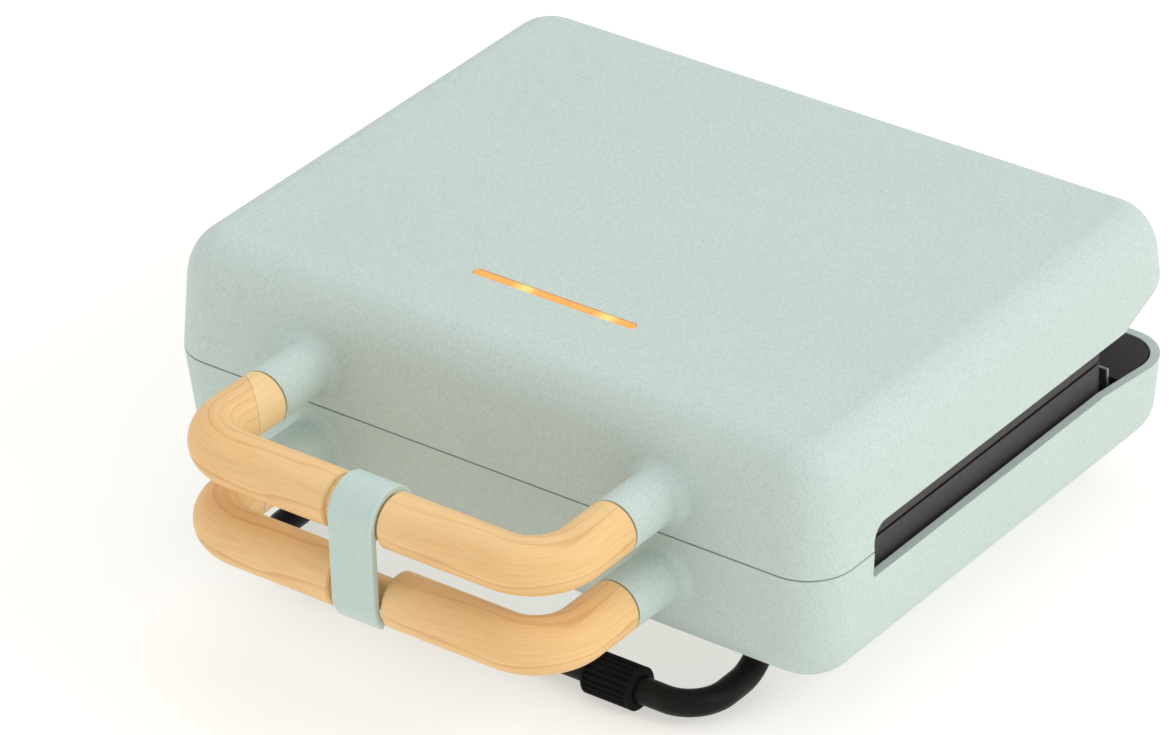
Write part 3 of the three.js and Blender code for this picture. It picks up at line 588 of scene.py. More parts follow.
    def soften(self, width: float, segments: int = 3, angle: float = 38.0) -> None:
        """Rounds every edge that is sharper than an angle.

        Args:
            width: Radius in millimetres.
            segments: Steps across the round.
            angle: Angle in degrees.
        """
        with self.editing():
            self.pick_all()
            bpy.ops.mesh.remove_doubles(threshold=0.00002)
        self.modifier("BEVEL", width=width * MM, segments=segments, limit_method="ANGLE",
                      angle_limit=math.radians(angle), use_clamp_overlap=True,
                      harden_normals=False, miter_outer="MITER_ARC")

    def copy(self, name: str, place: Matrix) -> "Workpiece":
        """Copies the piece to another place, with its own mesh.

        Args:
            name: Name of the copy.
            place: Where the copy goes.

        Returns:
            The copy.
        """
        twin = self.obj.copy()
        twin.data = self.obj.data.copy()
        twin.name = name
        twin.data.name = name
        twin.data.transform(place)
        bpy.context.collection.objects.link(twin)
        return Workpiece(twin)

    def shade(self, angle: float = 32.0, weighted: bool = True) -> None:
        """Shades the piece smooth across soft edges.

        Args:
            angle: Largest angle that is smoothed, in degrees.
            weighted: Whether large faces keep their own normal.
        """
        only(self.obj)
        bpy.ops.object.shade_smooth_by_angle(angle=math.radians(angle))
        if weighted:
            self.modifier("WEIGHTED_NORMAL", keep_sharp=True, weight=60)

    def hand_over(self, body: Body, slot: str, finish: "Finish", *nodes: str) -> None:
        """Gives the finished piece its finish and body, and hides the CAD nodes it stands for.

        Args:
            body: Body it rides on.
            slot: The record's material slot. Not used.
            finish: Its finish.
            *nodes: CAD nodes it stands for.
        """
        self.obj.data.materials.clear()
        self.obj.data.materials.append(finish.material())
        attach(self.obj, body.value)
        if nodes:
            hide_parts(*nodes)
        edges = bmesh.new()
        edges.from_mesh(self.obj.data)
        open_edges = sum(1 for e in edges.edges if len(e.link_faces) != 2)
        if not edges.faces:
            raise ValueError(f"{self.obj.name} came out empty")
        LOG.info("%s: %d faces, %d open edges", self.obj.name, len(edges.faces), open_edges)
        edges.free()


# ---------------------------------------------------------------------------- finishes


def linear(code: str) -> tuple[float, float, float, float]:
    """Turns an sRGB hex value into a linear colour.

    Args:
        code: Six hex digits, such as "C3D1CA".

    Returns:
        The colour with full alpha.
    """
    channels = []
    for i in (0, 2, 4):
        value = int(code[i:i + 2], 16) / 255
        channels.append(value / 12.92 if value <= 0.04045 else ((value + 0.055) / 1.055) ** 2.4)
    return (channels[0], channels[1], channels[2], 1.0)


def grey(value: float) -> tuple[float, float, float, float]:
    """Gives a grey for a ramp that carries a number."""
    return (value, value, value, 1.0)


def per_metre(size_mm: float) -> float:
    """Gives the texture scale at which a feature has a real size.

    Args:
        size_mm: Size of the feature in millimetres.

    Returns:
        The scale for coordinates in metres.
    """
    return 1000.0 / size_mm


def add_node(tree: bpy.types.NodeTree, kind: str, inputs: dict[Any, Any] | None = None,
             stops: Sequence[tuple[float, Sequence[float]]] = (),
             **settings: Any) -> bpy.types.Node:
    """Adds a node with its settings, and fills or links its inputs.

    Args:
        tree: The node tree.
        kind: Blender's name for the node type.
        inputs: Values or output sockets, by input name or number.
        stops: Positions and colours, for a node with a colour ramp.
        **settings: The node's own settings.

    Returns:
        The node.
    """
    node = tree.nodes.new(kind)
    for key, value in settings.items():
        setattr(node, key, value)
    for i, (position, colour) in enumerate(stops):
        elements = node.color_ramp.elements
        element = elements[i] if i < len(elements) else elements.new(position)
        element.position, element.color = position, colour
    for key, value in (inputs or {}).items():
        if isinstance(value, bpy.types.NodeSocket):
            tree.links.new(value, node.inputs[key])
        else:
            node.inputs[key].default_value = value
    return node


@dataclass(frozen=True)
class Finish:
    """A surface, named for its real material and how it was made."""

    name: str

    def material(self) -> bpy.types.Material:
        """Builds the material once and hands it out after that.

        Returns:
            The material.
        """
        found = bpy.data.materials.get(self.name)
        if found:
            return found
        made = bpy.data.materials.new(self.name)
        made.use_nodes = True
        tree = made.node_tree
        tree.nodes.clear()
        shader = add_node(tree, "ShaderNodeBsdfPrincipled", self.surface(tree))
        add_node(tree, "ShaderNodeOutputMaterial", {"Surface": shader.outputs["BSDF"]})
        return made

    def surface(self, tree: bpy.types.NodeTree) -> dict[str, Any]:
        """Builds the pattern nodes. Each finish has its own way.

        Args:
            tree: The material's node tree.

        Returns:
            Values and sockets for the shader's inputs.
        """
        raise NotImplementedError


@dataclass(frozen=True)
class GrainedMoulding(Finish):
    """Injection-moulded ABS or nylon from a finely sparked mould.

    The grain breaks the highlight into a soft sheen, and pigment specks show close up.
    """

    base: str
    speck: str
    roughness: float
    grain_mm: float
    speck_mm: float
    speck_share: float
    relief_mm: float
    shine: float = 0.5

    def surface(self, tree: bpy.types.NodeTree) -> dict[str, Any]:
        """Mixes the base colour with specks and a broad, faint unevenness."""
        where = add_node(tree, "ShaderNodeTexCoord").outputs["Object"]
        specks = add_node(tree, "ShaderNodeTexNoise", {
            "Vector": where, "Scale": per_metre(self.speck_mm), "Detail": 3.0})
        share = add_node(tree, "ShaderNodeValToRGB", {"Fac": specks.outputs["Fac"]},
                         stops=((0.40, grey(0.0)), (0.70, grey(self.speck_share))))
        broad = add_node(tree, "ShaderNodeTexNoise", {
            "Vector": where, "Scale": per_metre(38.0), "Detail": 1.0})
        cloud = add_node(tree, "ShaderNodeValToRGB", {"Fac": broad.outputs["Fac"]},
                         stops=((0.3, grey(0.0)), (0.7, grey(0.10))))
        flecked = add_node(tree, "ShaderNodeMix", {
            "Factor": share.outputs["Color"], "A": linear(self.base), "B": linear(self.speck)},
            data_type="RGBA")
        uneven = add_node(tree, "ShaderNodeMix", {
            "Factor": cloud.outputs["Color"], "A": flecked.outputs["Result"],
            "B": linear(self.speck)}, data_type="RGBA")
        grain = add_node(tree, "ShaderNodeTexNoise", {
            "Vector": where, "Scale": per_metre(self.grain_mm), "Detail": 2.0})
        rough = add_node(tree, "ShaderNodeValToRGB", {"Fac": grain.outputs["Fac"]},
                         stops=((0.2, grey(self.roughness - 0.06)),
                                (0.8, grey(self.roughness + 0.08))))
        relief = add_node(tree, "ShaderNodeBump", {
            "Height": grain.outputs["Fac"], "Distance": self.relief_mm * MM, "Strength": 0.5})
        return {"Base Color": uneven.outputs["Result"], "Roughness": rough.outputs["Color"],
                "Normal": relief.outputs["Normal"], "Specular IOR Level": self.shine}


@dataclass(frozen=True)
class OiledMaple(Finish):
    """Maple rod, sanded and oiled, with growth rings that follow its bends.

    The piece's grain attribute holds the distance along the rod and the two places across it.
    A paler scarf piece is let in at the start of the rod, with a hair-line joint.
    """

    pale: str = "F0C88E"
    ground: str = "E6B97D"
    line: str = "BC8448"
    patch: str = "F2D29C"
    joint: str = "7E5430"
    ring_mm: float = 3.1
    pore_mm: float = 0.45
    patch_mm: float = 24.0
    scarf_mm: float = 6.4
    scarf_slope: float = 0.75
    joint_mm: float = 0.22

    def surface(self, tree: bpy.types.NodeTree) -> dict[str, Any]:
        """Draws rings about a pith beside the rod, pores along it, patches and the scarf."""
        grain = add_node(tree, "ShaderNodeAttribute", attribute_name="grain",
                         attribute_type="GEOMETRY").outputs["Vector"]
        drift = add_node(tree, "ShaderNodeMapping", {"Vector": grain, "Scale": (0.22, 1.0, 1.0)})
        wander = add_node(tree, "ShaderNodeTexNoise", {
            "Vector": drift.outputs["Vector"], "Scale": per_metre(13.0), "Detail": 2.0})
        nudge = add_node(tree, "ShaderNodeVectorMath", {
            0: wander.outputs["Color"], 1: (0.0, 0.008, 0.008)}, operation="MULTIPLY")
        moved = add_node(tree, "ShaderNodeVectorMath", {
            0: drift.outputs["Vector"], 1: nudge.outputs["Vector"]}, operation="ADD")
        about = add_node(tree, "ShaderNodeMapping", {
            "Vector": moved.outputs["Vector"], "Location": (0.0, 0.021, 0.012),
            "Scale": (0.05, 1.0, 1.0)})
        rings = add_node(tree, "ShaderNodeTexWave", {
            "Vector": about.outputs["Vector"], "Scale": per_metre(self.ring_mm) * math.pi / 10,
            "Distortion": 1.1, "Detail": 2.0, "Detail Scale": 1.5},
            wave_type="RINGS", rings_direction="X", wave_profile="SAW")
        late = add_node(tree, "ShaderNodeValToRGB", {"Fac": rings.outputs["Fac"]},
                        stops=((0.0, grey(0.02)), (0.70, grey(0.06)), (0.93, grey(0.46)),
                               (1.0, grey(0.05))))
        fibre = add_node(tree, "ShaderNodeMapping", {"Vector": grain, "Scale": (0.035, 1.0, 1.0)})
        pores = add_node(tree, "ShaderNodeTexNoise", {
            "Vector": fibre.outputs["Vector"], "Scale": per_metre(self.pore_mm), "Detail": 3.0})
        streak = add_node(tree, "ShaderNodeValToRGB", {"Fac": pores.outputs["Fac"]},
                          stops=((0.36, grey(0.0)), (0.64, grey(0.75))))
        ground = add_node(tree, "ShaderNodeMix", {
            "Factor": streak.outputs["Color"], "A": linear(self.ground),
            "B": linear(self.pale)}, data_type="RGBA")
        lined = add_node(tree, "ShaderNodeMix", {
            "Factor": late.outputs["Color"], "A": ground.outputs["Result"],
            "B": linear(self.line)}, data_type="RGBA")
        broad = add_node(tree, "ShaderNodeMapping", {"Vector": grain, "Scale": (0.4, 1.0, 1.0)})
        cloud = add_node(tree, "ShaderNodeTexNoise", {
            "Vector": broad.outputs["Vector"], "Scale": per_metre(self.patch_mm), "Detail": 1.0})
        light = add_node(tree, "ShaderNodeValToRGB", {"Fac": cloud.outputs["Fac"]},
                         stops=((0.46, grey(0.0)), (0.64, grey(0.4))))
        coloured = add_node(tree, "ShaderNodeMix", {
            "Factor": light.outputs["Color"], "A": lined.outputs["Result"],
            "B": linear(self.patch)}, data_type="RGBA")
        split = add_node(tree, "ShaderNodeSeparateXYZ", {"Vector": grain})
        lean = add_node(tree, "ShaderNodeMath", {
            0: split.outputs["Y"], 1: self.scarf_slope, 2: split.outputs["X"]},
            operation="MULTIPLY_ADD")
        inside = add_node(tree, "ShaderNodeMath", {
            0: lean.outputs["Value"], 1: self.scarf_mm * MM}, operation="LESS_THAN")
        pieced = add_node(tree, "ShaderNodeMath", {
            0: inside.outputs["Value"], 1: 0.62}, operation="MULTIPLY")
        scarfed = add_node(tree, "ShaderNodeMix", {
            "Factor": pieced.outputs["Value"], "A": coloured.outputs["Result"],
            "B": linear(self.patch)}, data_type="RGBA")
        away = add_node(tree, "ShaderNodeMath", {
            0: lean.outputs["Value"], 1: self.scarf_mm * MM}, operation="SUBTRACT")
        near = add_node(tree, "ShaderNodeMath", {0: away.outputs["Value"]}, operation="ABSOLUTE")
        hair = add_node(tree, "ShaderNodeMapRange", {
            "Value": near.outputs["Value"], "From Min": 0.0, "From Max": self.joint_mm * MM,
            "To Min": 0.6, "To Max": 0.0})
        jointed = add_node(tree, "ShaderNodeMix", {
            "Factor": hair.outputs["Result"], "A": scarfed.outputs["Result"],
            "B": linear(self.joint)}, data_type="RGBA")
        rough = add_node(tree, "ShaderNodeValToRGB", {"Fac": pores.outputs["Fac"]},
                         stops=((0.3, grey(0.46)), (0.7, grey(0.60))))
        relief = add_node(tree, "ShaderNodeBump", {
            "Height": pores.outputs["Fac"], "Distance": 0.08 * MM, "Strength": 0.3})
        return {"Base Color": jointed.outputs["Result"], "Roughness": rough.outputs["Color"],
                "Normal": relief.outputs["Normal"], "Specular IOR Level": 0.4}


@dataclass(frozen=True)
class NonStickCoat(Finish):
    """Sprayed non-stick coating on cast aluminium: warm charcoal with a fine pearly fleck."""

    base: str = "2F2B2A"
    fleck: str = "4C4645"
    fleck_mm: float = 0.55
    roughness: float = 0.44

    def surface(self, tree: bpy.types.NodeTree) -> dict[str, Any]:
        """Scatters flecks and a faint orange-peel from the spray."""
        where = add_node(tree, "ShaderNodeTexCoord").outputs["Object"]
        cells = add_node(tree, "ShaderNodeTexVoronoi", {
            "Vector": where, "Scale": per_metre(self.fleck_mm)})
        fleck = add_node(tree, "ShaderNodeValToRGB", {"Fac": cells.outputs["Distance"]},
                         stops=((0.0, grey(0.5)), (0.28, grey(0.0))))
        mixed = add_node(tree, "ShaderNodeMix", {
            "Factor": fleck.outputs["Color"], "A": linear(self.base), "B": linear(self.fleck)},
            data_type="RGBA")
        peel = add_node(tree, "ShaderNodeTexNoise", {
            "Vector": where, "Scale": per_metre(1.6), "Detail": 2.0})
        rough = add_node(tree, "ShaderNodeValToRGB", {"Fac": peel.outputs["Fac"]},
                         stops=((0.3, grey(self.roughness - 0.05)),
                                (0.7, grey(self.roughness + 0.08))))
        relief = add_node(tree, "ShaderNodeBump", {
            "Height": peel.outputs["Fac"], "Distance": 0.05 * MM, "Strength": 0.35})
        return {"Base Color": mixed.outputs["Result"], "Roughness": rough.outputs["Color"],
                "Normal": relief.outputs["Normal"], "Specular IOR Level": 0.42}


@dataclass(frozen=True)
class EvenCoat(Finish):
    """A dark skin with faint clouds: baked enamel on steel tube, or moulded nitrile rubber."""

    base: str
    bloom: str
    cloud_mm: float
    fine_mm: float
    roughness: float
    relief_mm: float
    shine: float

    def surface(self, tree: bpy.types.NodeTree) -> dict[str, Any]:
        """Lets a greyer bloom show in clouds and breaks up the highlight."""
        where = add_node(tree, "ShaderNodeTexCoord").outputs["Object"]
        cloud = add_node(tree, "ShaderNodeTexNoise", {
            "Vector": where, "Scale": per_metre(self.cloud_mm), "Detail": 3.0})
        colour = add_node(tree, "ShaderNodeValToRGB", {"Fac": cloud.outputs["Fac"]},
                          stops=((0.3, linear(self.base)), (0.8, linear(self.bloom))))
        fine = add_node(tree, "ShaderNodeTexNoise", {
            "Vector": where, "Scale": per_metre(self.fine_mm), "Detail": 2.0})
        rough = add_node(tree, "ShaderNodeValToRGB", {"Fac": fine.outputs["Fac"]},
                         stops=((0.3, grey(self.roughness - 0.05)),
                                (0.7, grey(self.roughness + 0.08))))
        relief = add_node(tree, "ShaderNodeBump", {
            "Height": fine.outputs["Fac"], "Distance": self.relief_mm * MM, "Strength": 0.35})
        return {"Base Color": colour.outputs["Color"], "Roughness": rough.outputs["Color"],
                "Normal": relief.outputs["Normal"], "Specular IOR Level": self.shine}


@dataclass(frozen=True)
class LitAcrylic(Finish):
    """Amber acrylic diffuser with two lamps behind it: it glows, most of all over the lamps."""

    base: str = "EE8438"
    glow: str = "F7943F"
    hot: str = "FFF08A"
    lamps_mm: tuple[float, float] = (-11.0, 20.0)
    reach_mm: float = 5.5
    strength: float = 0.62

    def surface(self, tree: bpy.types.NodeTree) -> dict[str, Any]:
        """Brightens the glow by the distance to the nearer lamp."""
        where = add_node(tree, "ShaderNodeTexCoord").outputs["Object"]
        split = add_node(tree, "ShaderNodeSeparateXYZ", {"Vector": where})
        gaps = []
        for lamp in self.lamps_mm:
            away = add_node(tree, "ShaderNodeMath", {0: split.outputs["X"], 1: lamp * MM},
                            operation="SUBTRACT")
            gaps.append(add_node(tree, "ShaderNodeMath", {0: away.outputs["Value"]},
                                 operation="ABSOLUTE").outputs["Value"])
        near = add_node(tree, "ShaderNodeMath", {0: gaps[0], 1: gaps[1]}, operation="MINIMUM")
        spot = add_node(tree, "ShaderNodeMapRange", {
            "Value": near.outputs["Value"], "From Min": 0.0, "From Max": self.reach_mm * MM,
            "To Min": 1.0, "To Max": 0.0}, interpolation_type="SMOOTHSTEP")
        glow = add_node(tree, "ShaderNodeValToRGB", {"Fac": spot.outputs["Result"]},
                        stops=((0.0, linear(self.glow)), (1.0, linear(self.hot))))
        haze = add_node(tree, "ShaderNodeTexNoise", {
            "Vector": where, "Scale": per_metre(2.5), "Detail": 2.0})
        body = add_node(tree, "ShaderNodeValToRGB", {"Fac": haze.outputs["Fac"]},
                        stops=((0.3, linear(self.base)), (0.7, linear(self.glow))))
        return {"Base Color": body.outputs["Color"], "Emission Color": glow.outputs["Color"],
                "Emission Strength": self.strength, "Roughness": 0.28}


@dataclass(frozen=True)
class PlatedMetal(Finish):
    """Cold-rolled steel with a bright plate, or a bare rolled sheet, with fine mill marks."""

    base: str = "C6C8C8"
    dull: str = "9DA0A1"
    roughness: float = 0.34
    mark_mm: float = 0.6

    def surface(self, tree: bpy.types.NodeTree) -> dict[str, Any]:
        """Draws mill marks along the length and a slightly cloudy plate."""
        where = add_node(tree, "ShaderNodeTexCoord").outputs["Object"]
        drawn = add_node(tree, "ShaderNodeMapping", {"Vector": where, "Scale": (0.12, 1.0, 1.0)})
        marks = add_node(tree, "ShaderNodeTexNoise", {
            "Vector": drawn.outputs["Vector"], "Scale": per_metre(self.mark_mm), "Detail": 3.0})
        cloud = add_node(tree, "ShaderNodeTexNoise", {
            "Vector": where, "Scale": per_metre(4.0), "Detail": 2.0})
        colour = add_node(tree, "ShaderNodeValToRGB", {"Fac": cloud.outputs["Fac"]},
                          stops=((0.3, linear(self.dull)), (0.7, linear(self.base))))
        rough = add_node(tree, "ShaderNodeValToRGB", {"Fac": marks.outputs["Fac"]},
                         stops=((0.3, grey(self.roughness - 0.06)),
                                (0.7, grey(self.roughness + 0.12))))
        relief = add_node(tree, "ShaderNodeBump", {
            "Height": marks.outputs["Fac"], "Distance": 0.01 * MM, "Strength": 0.3})
        return {"Base Color": colour.outputs["Color"], "Roughness": rough.outputs["Color"],
                "Metallic": 1.0, "Normal": relief.outputs["Normal"]}


@dataclass(frozen=True)
class PlainBody(Finish):
    """A dense, slightly mottled body such as steatite, lamp resin or coated board."""

    base: str
    mottle: str
    roughness: float
    mottle_mm: float
    glow: float = 0.0

    def surface(self, tree: bpy.types.NodeTree) -> dict[str, Any]:
        """Mottles the colour and gives the skin a fine relief."""
        where = add_node(tree, "ShaderNodeTexCoord").outputs["Object"]
        cloud = add_node(tree, "ShaderNodeTexNoise", {
            "Vector": where, "Scale": per_metre(self.mottle_mm), "Detail": 3.0})
        colour = add_node(tree, "ShaderNodeValToRGB", {"Fac": cloud.outputs["Fac"]},
                          stops=((0.35, linear(self.base)), (0.75, linear(self.mottle))))
        relief = add_node(tree, "ShaderNodeBump", {
            "Height": cloud.outputs["Fac"], "Distance": 0.03 * MM, "Strength": 0.3})
        return {"Base Color": colour.outputs["Color"], "Roughness": self.roughness,
                "Emission Color": linear(self.base), "Emission Strength": self.glow,
                "Normal": relief.outputs["Normal"]}


# Sparked ABS: pale mint that looks matt and faintly speckled, as its grain scatters light.
# Real spark grain is some 0.1 mm wide, and is drawn at 0.5 mm so that it shows.
MINT_ABS = GrainedMoulding("moulded_abs_mint", "C4D2CC", "ACBDB5", 0.55, 0.5, 0.8, 0.6, 0.05, 0.4)
# The clip's mould was polished a little finer, so its edges catch a cleaner light.
MINT_CLIP = GrainedMoulding("moulded_abs_mint_clip", "BFD2CB", "B0C3BC", 0.46, 0.5, 0.9, 0.4, 0.03)
# Mineral-filled nylon: brown-black and quite dull.
BLACK_NYLON = GrainedMoulding("moulded_nylon_black", "231F1E", "322D2B", 0.60, 0.6, 1.2, 0.5,
                              0.05, 0.35)
# Oiled maple: warm and pale, with darker late wood and a soft, low shine.
MAPLE = OiledMaple("bent_maple_oiled")
# Sprayed coating: dark and smooth, so that the moulds read by their rims.
NON_STICK = NonStickCoat("sprayed_non_stick_coating")
# Baked enamel: an even black with a soft bright line along the tube.
ENAMEL = EvenCoat("baked_enamel_black", "0D0D0B", "161614", 9.0, 0.5, 0.42, 0.02, 0.16)
# Nitrile rubber: the deepest black here, with hardly a highlight.
RUBBER = EvenCoat("moulded_nitrile_rubber", "0A0909", "141312", 3.0, 0.35, 0.80, 0.03, 0.18)
# Acrylic: the lamps behind it make two hot spots.
AMBER = LitAcrylic("moulded_acrylic_amber")
# Zinc plate: cool, bright and finely marked.
ZINC = PlatedMetal("zinc_plated_steel")
# Aluminised sheet: brighter and smoother than the zinc.
ALUMINISED = PlatedMetal("rolled_aluminised_sheet", "C9CBCC", "A9ABAC", 0.3, 0.5)
# Drawn sheath: steel dulled by heat.
SHEATH = PlatedMetal("drawn_heater_sheath", "6A6C6C", "4A4B4B", 0.45, 0.4)
# Steatite: unglazed, off-white and chalky.
STEATITE = PlainBody("pressed_steatite", "E8E4DC", "D8D2C6", 0.5, 2.0)
# Circuit board: green lacquer, fairly glossy.
BOARD = PlainBody("coated_circuit_board", "2F6B46", "25583A", 0.35, 4.0)
# Lamp resin: a clear amber dome that glows.
LAMP_RESIN = PlainBody("cast_lamp_resin", "FFC568", "FFE6A0", 0.25, 1.5, 2.0)


# ---------------------------------------------------------------------------- sub-assemblies


@dataclass
class Shell:
    """One half of the casing: a drafted, rounded tub with vents and two handle sleeves."""

    half: Half
    edge_side: float
    edge_up: float
    vent_depth: float
    dip_start: float
    dip_end: float
    dip_depth: float
    vent_radius: float
    vent_setback: float = 26.9
    corner_steps: int = 12
    edge_steps: int = 14
    flare: float = 3.4
    flare_steps: int = 10
    rim_round: float = 0.7
    bar_length: float = 61.0
    bar_width: float = 3.2
    post_inset: float = 12.0
    post_set_in: float = 33.0
    post_radius: float = 4.2
    post_reach: float = 22.1
    screw_well: float = 3.7
    well_depth: float = 4.0
    screw_bore: float = 2.3
    gland_drop: float = 26.0
    gland_radius: float = 6.3
    foot_socket: float = 9.0

    def height(self) -> float:
        """Height of the half from the seam."""
        return LAYOUT.lid_height if self.half is Half.UPPER else LAYOUT.base_height

    def tub(self) -> tuple[Workpiece, Workpiece]:
        """Models the drafted tub, open at the seam.

        Returns:
            The tub with its wall, and its outer form as a solid.
        """
        way = self.half.value
        near = LAYOUT.seam_z + way * LAYOUT.seam / 2
        far = LAYOUT.seam_z + way * self.height()
        tub = Workpiece.block(f"{'lid' if way > 0 else 'base'}_casing",
                              (-LAYOUT.side, LAYOUT.front, min(near, far)),
                              (LAYOUT.side, LAYOUT.rear, max(near, far)))
        pull = LAYOUT.draft * self.height()
        far_m = far * MM
        side = self.edge_side - LAYOUT.draft * self.edge_up
        squeeze = side / self.edge_up
        with tub.editing():
            tub.pick("FACE", lambda f: f.normal.z * way > FACING)
            tub.scale((1 - 2 * pull / LAYOUT.width, 1 - 2 * pull / LAYOUT.depth, 1), (0, 0, far))
            tub.pick("EDGE", lambda e: abs(direction(e).z) > 0.7)
            tub.bevel(LAYOUT.corner, self.corner_steps)
            tub.pick_all()
            tub.scale((1, 1, squeeze), (0, 0, far))
            tub.pick("EDGE", lambda e: all(abs(v.co.z - far_m) < ON_PLANE for v in e.verts))
            tub.bevel(side, self.edge_steps)
            tub.pick_all()
            tub.scale((1, 1, 1 / squeeze), (0, 0, far))
        form = tub.copy("casing_form", Matrix.Identity(4))
        with tub.editing():
            tub.pick("FACE", lambda f: f.normal.z * way < -FACING)
            bpy.ops.mesh.delete(type="FACE")
        tub.modifier("SOLIDIFY", thickness=LAYOUT.wall * MM, offset=-1.0, use_even_offset=True)
        return tub, form

    def vent(self) -> Workpiece:
        """Models the tool that opens both sides and the rear."""
        way = self.half.value
        seam = LAYOUT.seam_z
        front = LAYOUT.front + self.vent_setback
        ends = sorted((seam - TOOL_REACH * way, seam + self.vent_depth * way))
        side = LAYOUT.side + 3 * TOOL_REACH
        tool = Workpiece.block("vent_tool", (-side, front, ends[0]),
                               (side, LAYOUT.rear - self.dip_start, ends[1]))
        far = (seam + self.vent_depth * way) * MM
        dip_y = LAYOUT.at(0, LAYOUT.rear - self.dip_end, 0).y
        front_y = LAYOUT.at(0, front, 0).y
        with tool.editing():
            tool.pick("FACE", lambda f: f.normal.y > FACING)
            tool.extrude((0, self.dip_start - self.dip_end, 0))
            tool.pick("VERT", lambda v: abs(v.co.z - far) < ON_PLANE
                      and abs(v.co.y - dip_y) < ON_PLANE)
            tool.shift((0, 0, (self.dip_depth - self.vent_depth) * way))
            tool.pick("FACE", lambda f: f.normal.y > FACING)
            tool.extrude((0, self.dip_end + TOOL_REACH, 0))
            tool.pick("EDGE", lambda e: abs(direction(e).x) > FACING
                      and abs(middle(e).z - far) < ON_PLANE
                      and abs(middle(e).y - front_y) < ON_PLANE)
            tool.bevel(self.vent_radius, 10)
        return tool

    def sleeve(self, side: int) -> Workpiece:
        """Models one handle sleeve, with its root flared and leaning with the wall.

        Args:
            side: -1 for left, 1 for right.

        Returns:
            The sleeve.
        """
        x, z = side * LAYOUT.handle_x, LAYOUT.handle_z(self.half)
        radius, way = LAYOUT.handle_radius, self.half.value
        lean = math.atan(LAYOUT.draft) * way
        face = LAYOUT.front + LAYOUT.draft * abs(z - LAYOUT.seam_z)
        piece = Workpiece.disc("sleeve_tool", (x, LAYOUT.sleeve_end, z), radius, Axis.Y, 64)
        flare, steps = self.flare, self.flare_steps
        with piece.editing():
            piece.pick_all()
            piece.extrude((0, face - flare - LAYOUT.sleeve_end, 0))
            last, wide = 0.0, radius
            for i in range(1, steps + 1):
                turn = i / steps * math.pi / 2
                along, reach = flare * math.sin(turn), radius + flare * (1 - math.cos(turn))
                piece.extrude((0, along - last, 0))
                factor = reach / wide
                piece.scale((factor, 1, factor), (x, face - flare + along, z))
                last, wide = along, reach
            piece.extrude((0, LAYOUT.wall * 0.7, 0))
            start = LAYOUT.at(0, face - flare * 0.9, 0).y
            piece.pick("VERT", lambda v: v.co.y > start)
            bpy.ops.transform.rotate(value=lean, orient_axis="X",
                                     center_override=LAYOUT.at(x, face, z))
        piece.face_outwards()
        return piece

    def holes(self) -> list[Workpiece]:
        """Models the tools for the tenon bores, screws, lens, gland and feet."""
        z = LAYOUT.handle_z(self.half)
        tools = []
        for _, side in SIDES:
            x = side * LAYOUT.handle_x
            depth = LAYOUT.tenon_length + LAYOUT.gap + 2
            tools.append(Workpiece.rod("bore_tool", (x, LAYOUT.sleeve_end + depth / 2 - 2, z),
                                       LAYOUT.tenon_radius + LAYOUT.gap, Axis.Y, depth))
        if self.half is Half.UPPER:
            tools.append(self.lens_slot())
            return tools
        floor = LAYOUT.stand_height
        for _, side in SIDES:
            for y in (LAYOUT.plate_front + self.post_set_in, LAYOUT.plate_rear - self.post_set_in):
                x = side * (LAYOUT.side - self.post_inset)
                tools.append(Workpiece.rod("well_tool", (x, y, floor), self.screw_well, Axis.Z,
                                           2 * self.well_depth))
                tools.append(Workpiece.rod("screw_tool", (x, y, floor + 2 * self.well_depth),
                                           self.screw_bore, Axis.Z, 8 * TOOL_REACH, 16))
            for end in (-1, 1):
                x = side * (LAYOUT.side - LAYOUT.foot_bar_inset)
                y = end * (LAYOUT.rear - LAYOUT.foot_leg_inset)
                reach = LAYOUT.wall + self.foot_socket + 2
                tools.append(Workpiece.rod("leg_tool", (x, y, floor + reach / 2 - 2),
                                           LAYOUT.foot_bar_radius + LAYOUT.gap, Axis.Z, reach))
        gland = (0, LAYOUT.rear - 4, LAYOUT.seam_z - self.gland_drop)
        tools.append(Workpiece.rod("gland_tool", gland, self.gland_radius, Axis.Y, 12))
        return tools

    def lens_slot(self) -> Workpiece:
        """Models the tool for the slot that the light bar shows through."""
        grow = LAYOUT.gap / 2
        x, half = self.bar_length / 2 + grow, self.bar_width / 2 + grow
        y = LAYOUT.light_bar_y
        tool = Workpiece.block("slot_tool", (-x, y - half, LAYOUT.top_z - 6),
                               (x, y + half, LAYOUT.top_z + 1))
        with tool.editing():
            tool.pick("EDGE", lambda e: abs(direction(e).z) > FACING)
            tool.bevel(half * 0.98, 8)
        return tool

